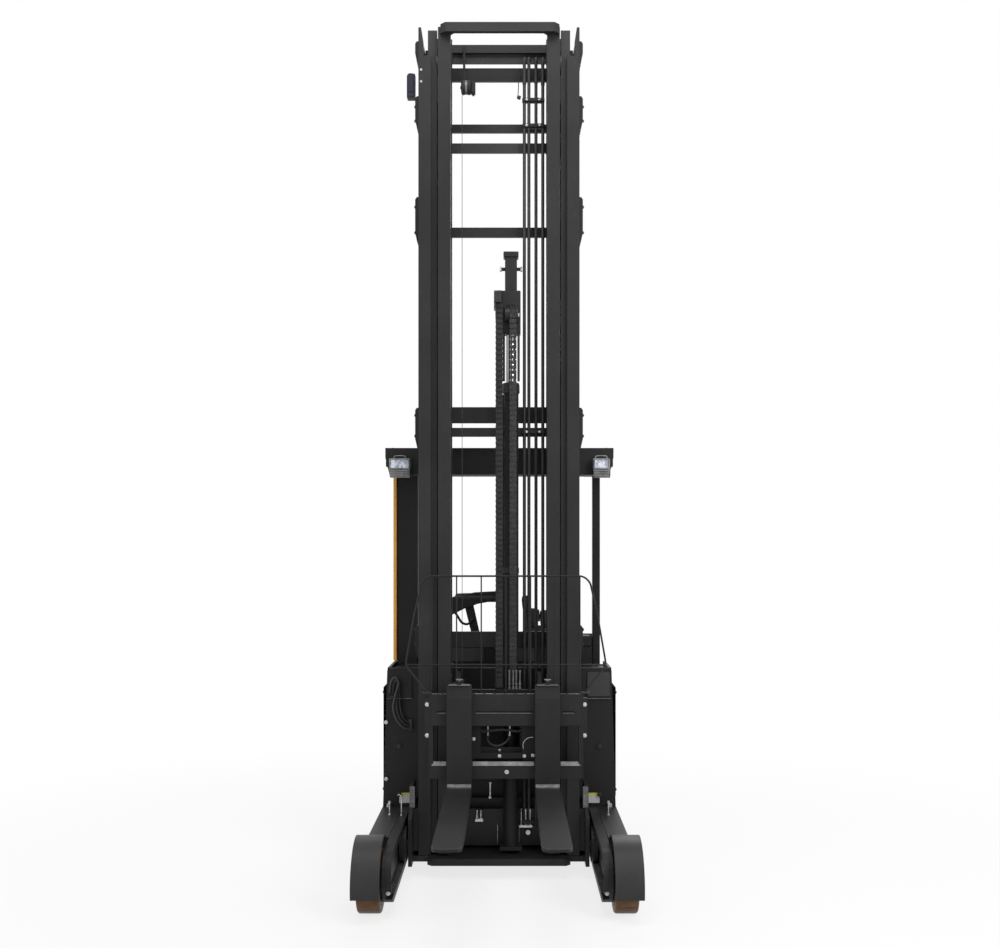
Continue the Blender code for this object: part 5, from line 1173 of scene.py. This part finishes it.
# Low between the rails: latch rod, anchors and unions of the inner stage, sheave edge, tilt bolts
def low_centre_details():
    rod = Shape().stud(-0.044, 0.0945, 0.38, 0.46, 0.004, ((0.38, 0.392, 0.0075), (0.452, 0.462, 0.0068)))
    rod.piece("latch_rod", "zinc", "reach")
    anchors = Shape()
    for x in (0.112, 0.135, 0.157):
        anchors.stud(x, 0.2, 0.222, 0.306, 0.0042, ((0.23, 0.24, 0.0058), (0.292, 0.302, 0.0056)), 12)
    anchors.box((0.1, 0.168), (0.188, 0.212), (0.212, 0.224), 0.002)
    anchors.rod((0.147, 0.202, 0.186), (0.147, 0.194, 0.186), 0.0125, 28)
    for x in ((-0.0095, -0.0065), (0.1, 0.1025)):
        anchors.box(x, (0.201, 0.217), (0.13, 0.222), 0.0008, 1)
    anchors.piece("stage_anchors", "zinc", "inner_mast")
    union = Shape()
    for x in (-0.112, -0.092):
        union.rod((x, 0.205, 0.25), (x, 0.205, 0.286), 0.0062, 6)
        union.rod((x, 0.205, 0.282), (x, 0.205, 0.298), 0.0046, 14)
    union.box((-0.122, -0.082), (0.196, 0.216), (0.24, 0.254), 0.0015)
    union.piece("hose_unions", "zinc", "inner_mast")
    face = Shape().tube([(x, -0.0322, z) for x, z in arc(0.16, 0.664, 0.0415, 80, 200, 24)], 0.0016, 8)
    face.piece("sheave_edge", "zinc", "fork_tilt")
    places = ((-0.122, 0.697), (0.004, 0.6145), (0.125, 0.614), (0.166, 0.617))
    bolts("tilt_bolts", [(x, -0.0312, z) for x, z in places], "zinc", "fork_tilt", FRONT, 0.0065, 0.0045)


# Padded pieces: a closed form is blown up a little by cloth pressure, then seamed and stitched
CLOTH_FRAMES = 20
PRESSURE = 4.0
SEAM_DEPTH, SEAM_WIDTH = 0.0065, 0.0075


def rounded_block(x, y, z, round_by, size):
    carrier = linked("pad_form", Shape().box(x, y, z, round_by, 4).mesh("pad_form"))
    run = carrier.modifiers.new("even", "REMESH")
    run.mode = "VOXEL"
    run.voxel_size = size
    bpy.context.view_layer.update()
    return applied(carrier)


def swollen(mesh, held, cap):
    """The mesh after cloth pressure. Points for which held is true stay; none moves past cap."""
    start = [v.co.copy() for v in mesh.vertices]
    carrier = linked("pad_cloth", mesh)
    group = carrier.vertex_groups.new(name="held")
    group.add([i for i, co in enumerate(start) if held(co)], 1.0, "REPLACE")
    cloth = carrier.modifiers.new("cloth", "CLOTH")
    for key, value in (("quality", 6), ("mass", 0.25), ("tension_stiffness", 22.0),
                       ("compression_stiffness", 22.0), ("bending_stiffness", 1.2), ("use_pressure", True),
                       ("uniform_pressure_force", PRESSURE), ("vertex_group_mass", "held")):
        setattr(cloth.settings, key, value)
    cloth.settings.effector_weights.gravity = 0.0
    cloth.collision_settings.use_collision = False
    cloth.point_cache.frame_start = 1
    cloth.point_cache.frame_end = CLOTH_FRAMES
    scene = bpy.context.scene
    for step in range(CLOTH_FRAMES):
        scene.frame_set(step + 1)
    made = applied(carrier)
    scene.frame_set(1)
    for vertex, first in zip(made.vertices, start):
        move = vertex.co - first
        if move.length > cap:
            vertex.co = first + move * (cap / move.length)
    return made


def seamed(mesh, lines):
    """Sinks the surface along sewn lines, each (axis, place, facing)."""
    for vertex in mesh.vertices:
        normal = vertex.normal
        for axis, place, facing in lines:
            off = vertex.co[axis] - place
            if abs(off) < SEAM_WIDTH * 3.0 and normal.dot(Vector(facing)) > 0.35:
                vertex.co -= Vector(facing) * SEAM_DEPTH * math.exp(-(off / SEAM_WIDTH) ** 2)
    return mesh


def smoothed(mesh, name):
    carrier = linked(name, mesh)
    run = carrier.modifiers.new("finer", "SUBSURF")
    run.levels = run.render_levels = 1
    bpy.context.view_layer.update()
    return applied(carrier)


def pad(name, node, box, round_by, size, held, cap, lines):
    made = rounded_block(*box, round_by, size)
    made = swollen(made, held, cap)
    made = seamed(made, lines)
    made = smoothed(made, name)
    made.name = name
    piece = settle(name, made, "seat_cloth", "chassis", 60.0)
    if node:
        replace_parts(piece, node)
    return piece


def stitches(name, piece, starts, aim):
    """Short threads, all along Y, where lines shot along aim meet the pad."""
    tubes = Shape()
    step = Vector((0.0, 0.0022, 0.0))
    for start in starts:
        hit, place, normal, _ = piece.ray_cast(Vector(start), Vector(aim))
        if hit:
            lift = place + normal * 0.0002
            tubes.tube([lift - step, lift + normal * 0.0006, lift + step], 0.00055, 6)
    tubes.piece(name, "bar_light")


def piping(name, piece, ring, centre):
    """A round welt on the pad's side, found by shooting from a ring of points at its centre."""
    line = []
    for start in ring:
        hit, place, normal, _ = piece.ray_cast(Vector(start), (Vector(centre) - Vector(start)).normalized())
        if hit:
            line.append(place + normal * 0.0004)
    Shape().tube(line + [line[0]], 0.0026, 10).piece(name, "black_plastic")


def seat_details():
    seams = (-0.305, -0.075)
    cushion = pad("seat_cushion_padded", "seat_cushion", ((-0.414, 0.034), (0.806, 1.164), (0.9208, 1.006)), 0.026,
                  0.007, lambda co: co.z < 0.926, 0.012, [(0, seam, UP) for seam in seams])
    back = pad("seat_back_padded", "seat_back", ((-0.535, -0.437), (0.828, 1.142), (0.9235, 1.452)), 0.034,
               0.007, lambda co: co.x < -0.53, 0.01,
               [(2, 1.12, (1, 0, 0)), (2, 1.29, (1, 0, 0))])
    rows = [seam + off for seam in seams for off in (0.0085, -0.0085)]
    starts = [(x, 0.825 + 0.0075 * i, 1.1) for x in rows for i in range(43)]
    stitches("cushion_stitches", cushion, starts, (0, 0, -1))
    starts = [(-0.3, 0.85 + 0.0075 * i, z) for z in (1.1285, 1.1115, 1.2985, 1.2815) for i in range(36)]
    stitches("back_stitches", back, starts, (-1, 0, 0))
    x, y, z = -0.19, 0.985, 0.984
    piping("cushion_welt", cushion, [(*p, z) for p in oval(x, y, 0.36, 0.3, 160)], (x, y, z))
    x, y, z = -0.452, 0.985, 1.188
    piping("back_welt", back, [(x, *p) for p in oval(y, z, 0.3, 0.42, 180)], (x, y, z))
    boxes("seat_back_shell", "black_plastic", "chassis", ((-0.5468, -0.5375), (0.84, 1.13), (0.95, 1.43), 0.004),
          ((-0.546, -0.5), (0.93, 1.04), (0.9206, 0.96), 0.006))
    boxes("belt_buckle", "black_plastic", "chassis", ((-0.545, -0.47), (1.1505, 1.166), (0.925, 0.985), 0.006),
          ((-0.492, -0.478), (1.1545, 1.1625), (0.98, 1.03), 0.003))


# Armrest with its hook, a painted highlight line along the dash, dash panels and the shoulder plate in painted light
def armrest_details():
    pad("armrest_pad", None, ((-0.262, -0.006), (0.684, 0.748), (1.331, 1.376)), 0.016, 0.0045,
        lambda co: co.z < 1.335, 0.006, [])
    hook = Shape()
    hook.tube(eased([(-0.246, 0.7, 1.272), (-0.232, 0.7, 1.252), (-0.212, 0.7, 1.221), (-0.187, 0.7, 1.2095),
                     (-0.166, 0.7, 1.217), (-0.149, 0.7, 1.242)], 6), 0.0068, 14)
    hook.piece("grip_hook", "black_plastic")
    # painted highlight: a light line along the dash's top edge
    boxes("dash_line", "bar_light", "chassis", ((-0.432, 0.43), (0.6508, 0.656), (1.094, 1.0992), 0.0008, 1))
    # painted light: lighter panels on the dash front, which lies in shade
    boxes("dash_apron", "painted_light_panel", "chassis", *((x, (0.655, 0.6598), (1.008, 1.081), 0.001, 1)
                                                 for x in ((-0.43, -0.088), (0.028, 0.19))))
    # painted light: a lighter plate on the sloped shoulder
    outline = [(0.3318, 0.86), (0.3426, 0.983), (0.344, 0.983), (0.3334, 0.86)]
    Shape().plate("yz", outline, 0.4575, 0.573, 0.0003).piece("shoulder_plate", "painted_light_panel")


# Operator's place: lever handles, screen, keys, stop button, steering wheel, pedal ribs
def cab_details():
    top = 1.1475
    knobs = Shape()
    knobs.plate("yz", [(0.69, top), (0.75, top), (0.746, 1.186), (0.73, 1.2), (0.698, 1.204)],
                0.138, 0.266, 0.004)
    for x, low, high in ((0.145, 1.272, 1.366), (0.178, 1.186, 1.296), (0.244, 1.184, 1.286)):
        tall = high - low
        knobs.turned([(0.0, 0.0), (0.0125, 0.001), (0.019, 0.012), (0.0225, 0.4 * tall), (0.0255, 0.72 * tall),
                      (0.0235, tall - 0.008), (0.015, tall - 0.001), (0.0, tall)], (x, 0.705, low + 0.002), UP, 32)
        knobs.turned([(0.0, 0.0), (0.025, 0.0), (0.023, 0.012), (0.0205, 0.018), (0.018, 0.024), (0.0155, 0.03),
                      (0.012, 0.04), (0.0, 0.04)], (x, 0.705, top), UP, 28)
    knobs.piece("lever_handles", "black_plastic")
    stems = Shape()
    for x, low in ((0.145, 1.275), (0.205, 1.205), (0.26, 1.195)):
        stems.rod((x, 0.705, 1.15), (x, 0.705, low), 0.0068, 16)
    stems.piece("lever_stems", "dark_steel")
    hood = Shape()
    hood.plate("yz", [(0.664, top), (0.748, top), (0.752, 1.196), (0.742, 1.2), (0.672, 1.21)],
               0.286, 0.414, 0.004)
    hood.piece("display_case", "black_plastic")
    boxes("display_glass", "screen", "chassis", ((0.296, 0.404), (0.75, 0.7528), (1.154, 1.192), 0.0008, 1))
    keys = [(-0.395 + 0.026 * i, 0.73 - 0.024 * k, 1.1482) for i in range(4) for k in range(2)]
    grown("key_field", "blocks", keys, "dark_steel", "chassis", UP, width=0.018, depth=0.015, height=0.003,
          rounding=0.0012)
    stop = Shape()
    stop.rod((-0.44, 0.745, 1.148), (-0.44, 0.745, 1.156), 0.011, 24)
    stop.turned([(0.0, 0.0), (0.008, 0.0), (0.008, 0.01), (0.015, 0.013), (0.015, 0.018), (0.011, 0.021),
                 (0.0, 0.022)], (-0.44, 0.745, 1.155), UP, 32)
    stop.piece("stop_button", "tail_red")
    cx, cy, cz = 0.2, 1.06, 1.06
    rim = [(x, y, cz - 0.004) for x, y in oval(cx, cy, 0.1115, 0.1115, 96)]
    wheel = Shape()
    wheel.tube(rim + [rim[0], rim[1]], 0.0108, 16)
    wheel.turned([(0.0, -0.018), (0.103, -0.015), (0.104, -0.01), (0.06, -0.004), (0.044, 0.004), (0.03, 0.008),
                  (0.0, 0.008)], (cx, cy, cz), UP, 72)
    wheel.turned([(0.0, 0.0), (0.008, 0.0), (0.008, 0.012), (0.015, 0.018), (0.0175, 0.028), (0.014, 0.036),
                  (0.0, 0.039)], (cx, cy + 0.095, cz), UP, 32)
    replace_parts(wheel.piece("steering_wheel_rim", "black_plastic", "steering_wheel"), "steering_wheel")
    cap = Shape().turned([(0.0, 0.0), (0.026, 0.0), (0.024, 0.003), (0.0, 0.004)], (cx, cy, cz + 0.0082), UP, 48)
    cap.piece("steering_cap", "bar_light", "steering_wheel")
    rows = (0.8, 0.816, 0.832, 0.848, 0.864, 0.93, 0.946, 0.962, 0.978, 0.994)
    ribs = [[(0.448, y, 0.4412), (0.542, y, 0.4412)] for y in rows]
    bars("pedal_ribs", ribs, "rubber_hose", "chassis", 0.0024, 8)


# Work lights: a cast case with a glass front, ribs and a short lead
def lamp_details():
    for word, mid, half in (("left", -0.515, 0.055), ("right", 0.527, 0.044)):
        case = Shape()
        case.plate("xz", [(mid - half + 0.005, 1.9925), (mid + half - 0.005, 1.9925), (mid + half, 2.05),
                          (mid + half, 2.088), (mid + half - 0.004, 2.0915), (mid - half + 0.004, 2.0915),
                          (mid - half, 2.088), (mid - half, 2.05)], 0.3, 0.335, 0.0025)
        side = half - 0.004
        for x, z in (((mid - side, mid + side), (2.083, 2.089)), ((mid - side, mid + side), (2.036, 2.041)),
                     ((mid - side, mid - side + 0.005), (2.039, 2.085)),
                     ((mid + side - 0.005, mid + side), (2.039, 2.085))):
            case.box(x, (0.288, 0.302), z, 0.0012, 1)
        for z in (1.9975, 2.0065, 2.0155, 2.0245):
            case.box((mid - side, mid + side), (0.2885, 0.303), (z, z + 0.0048), 0.001, 1)
        case.box((mid - 0.01, mid + 0.01), (0.335, 0.359), (2.03, 2.06), 0.002)
        case.tube(eased([(mid - 0.03, 0.315, 2.0905), (mid - 0.024, 0.315, 2.104), (mid + 0.024, 0.315, 2.104),
                         (mid + 0.03, 0.315, 2.0905)], 6), 0.003, 10)
        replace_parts(case.piece("work_light_case_" + word, "lamp_silver"), "work_light_" + word)
        boxes("work_light_glass_" + word, "glass", "chassis",
              ((mid - side + 0.005, mid + side - 0.005), (0.2915, 0.3005), (2.041, 2.083), 0.0014))
        lead = Shape()
        end = mid + half
        lead.tube(eased([(end - 0.012, 0.33, 1.999), (end, 0.336, 1.996), (end + 0.003, 0.344, 2.02),
                         (end + 0.002, 0.352, 2.07), (end - 0.006, 0.3585, 2.1)], 6), 0.0032, 10)
        lead.piece("work_light_lead_" + word, "rubber_hose")


# Back and roof: grille slats, latch, tail lamps, motor fins, roof bolts, slat welds
def back_details():
    heights = [z + 0.004 + 0.007 * k for z in (0.7, 0.745, 0.79, 0.835) for k in range(3)]
    slats = [[(-0.258, 1.2405, z), (0.258, 1.2405, z)] for z in heights]
    bars("hood_grille", slats, "black_plastic", "chassis", 0.0014, 8)
    tail = Shape().both_sides(0.5505, 0.5795, (1.235, 1.2445), (1.172, 1.262), 0.003)
    tail.piece("tail_lamps", "tail_red")
    rims = Shape().both_sides(0.5465, 0.5835, (1.2342, 1.2385), (1.164, 1.27), 0.0015)
    rims.piece("tail_lamp_rims", "dark_steel")
    latch = Shape()
    latch.box((-0.042, 0.042), (1.203, 1.238), (1.1202, 1.128), 0.003)
    latch.rod((0.0, 1.2205, 1.128), (0.0, 1.2205, 1.1325), 0.01, 24)
    latch.piece("hood_latch", "dark_steel")
    bolts("hood_bolts", [(x, 1.222, 1.1202) for x in (-0.46, -0.25, 0.25, 0.46)], "dark_steel", "chassis", UP,
          0.008, 0.005)
    fins = Shape()
    for z in (0.47, 0.5, 0.53, 0.56, 0.59, 0.62, 0.65, 0.68):
        fins.turned([(0.1048, 0.0), (0.1105, 0.002), (0.1105, 0.005), (0.1048, 0.007)], (-0.12, 0.985, z),
                    UP, 72)
    fins.turned([(0.0, 0.0), (0.07, 0.0), (0.066, 0.016), (0.0, 0.018)], (-0.12, 0.985, 0.76), UP, 48)
    fins.piece("motor_fins", "dark_steel")
    bolts("roof_bolts", [(x, y, 2.1415) for x in (-0.56, 0.56) for y in (0.395, 1.205)], "dark_steel", "chassis",
          UP, 0.012, 0.0075)
    welds = Shape()
    for _, side in SIDES:
        for y in (0.52, 0.64, 0.76, 0.87, 0.99, 1.11):
            welds.tube([(side * 0.4965, y - 0.022, 2.126), (side * 0.4985, y, 2.1275),
                        (side * 0.4965, y + 0.022, 2.126)], 0.0032, 8)
    welds.piece("slat_welds", "body_paint")


# Floor mat with round studs
def mat_details():
    boxes("floor_mat", "mat", "chassis", ((0.04, 0.425), (0.775, 1.03), (0.3603, 0.366), 0.002))
    studs = [(0.058 + 0.024 * i + (0.012 if k % 2 else 0.0), 0.792 + 0.021 * k, 0.366) for i in range(15)
             for k in range(11)]
    bolts("mat_studs", studs, "mat", "chassis", UP, 0.006, 0.0022)


# Sides: bolted covers, louvres on the battery side, a grab bar at the way in
def side_details():
    boxes("side_covers", "body_paint", "chassis", ((-0.609, -0.6052), (0.4, 1.15), (0.33, 0.9), 0.0015),
          ((0.6052, 0.609), (0.385, 0.7), (0.33, 0.9), 0.0015))
    for (word, side), rows in zip(SIDES, ((0.43, 0.775, 1.12), (0.412, 0.672))):
        heads = [(side * 0.6088, y, z) for y in rows for z in (0.36, 0.87)]
        bolts("side_cover_bolts_" + word, heads, "dark_steel", "chassis", (side, 0, 0), 0.0075, 0.0045)
    slats = [[(-0.61, 0.6, 0.72 + 0.022 * i), (-0.61, 0.95, 0.72 + 0.022 * i)] for i in range(6)]
    bars("side_louvres", slats, "body_paint", "chassis", 0.0058, 10)
    bar = Shape()
    bar.tube(eased([(0.565, 1.1798, 1.33), (0.565, 1.158, 1.338), (0.565, 1.15, 1.365), (0.565, 1.15, 1.685),
                    (0.565, 1.158, 1.712), (0.565, 1.1798, 1.72)], 6), 0.0085, 16)
    for z in (1.33, 1.72):
        bar.box((0.548, 0.582), (1.1755, 1.1798), (z - 0.022, z + 0.022), 0.0015)
    bar.piece("grab_bar", "black_plastic")


for build in (load_wheels, arm_details, mast_details, inner_hoses, height_drum, free_lift_details,
              carriage_details, fork_details, load_guard, side_details, body_details, low_centre_details,
              seat_details, armrest_details, cab_details, lamp_details, back_details, mat_details):
    build()
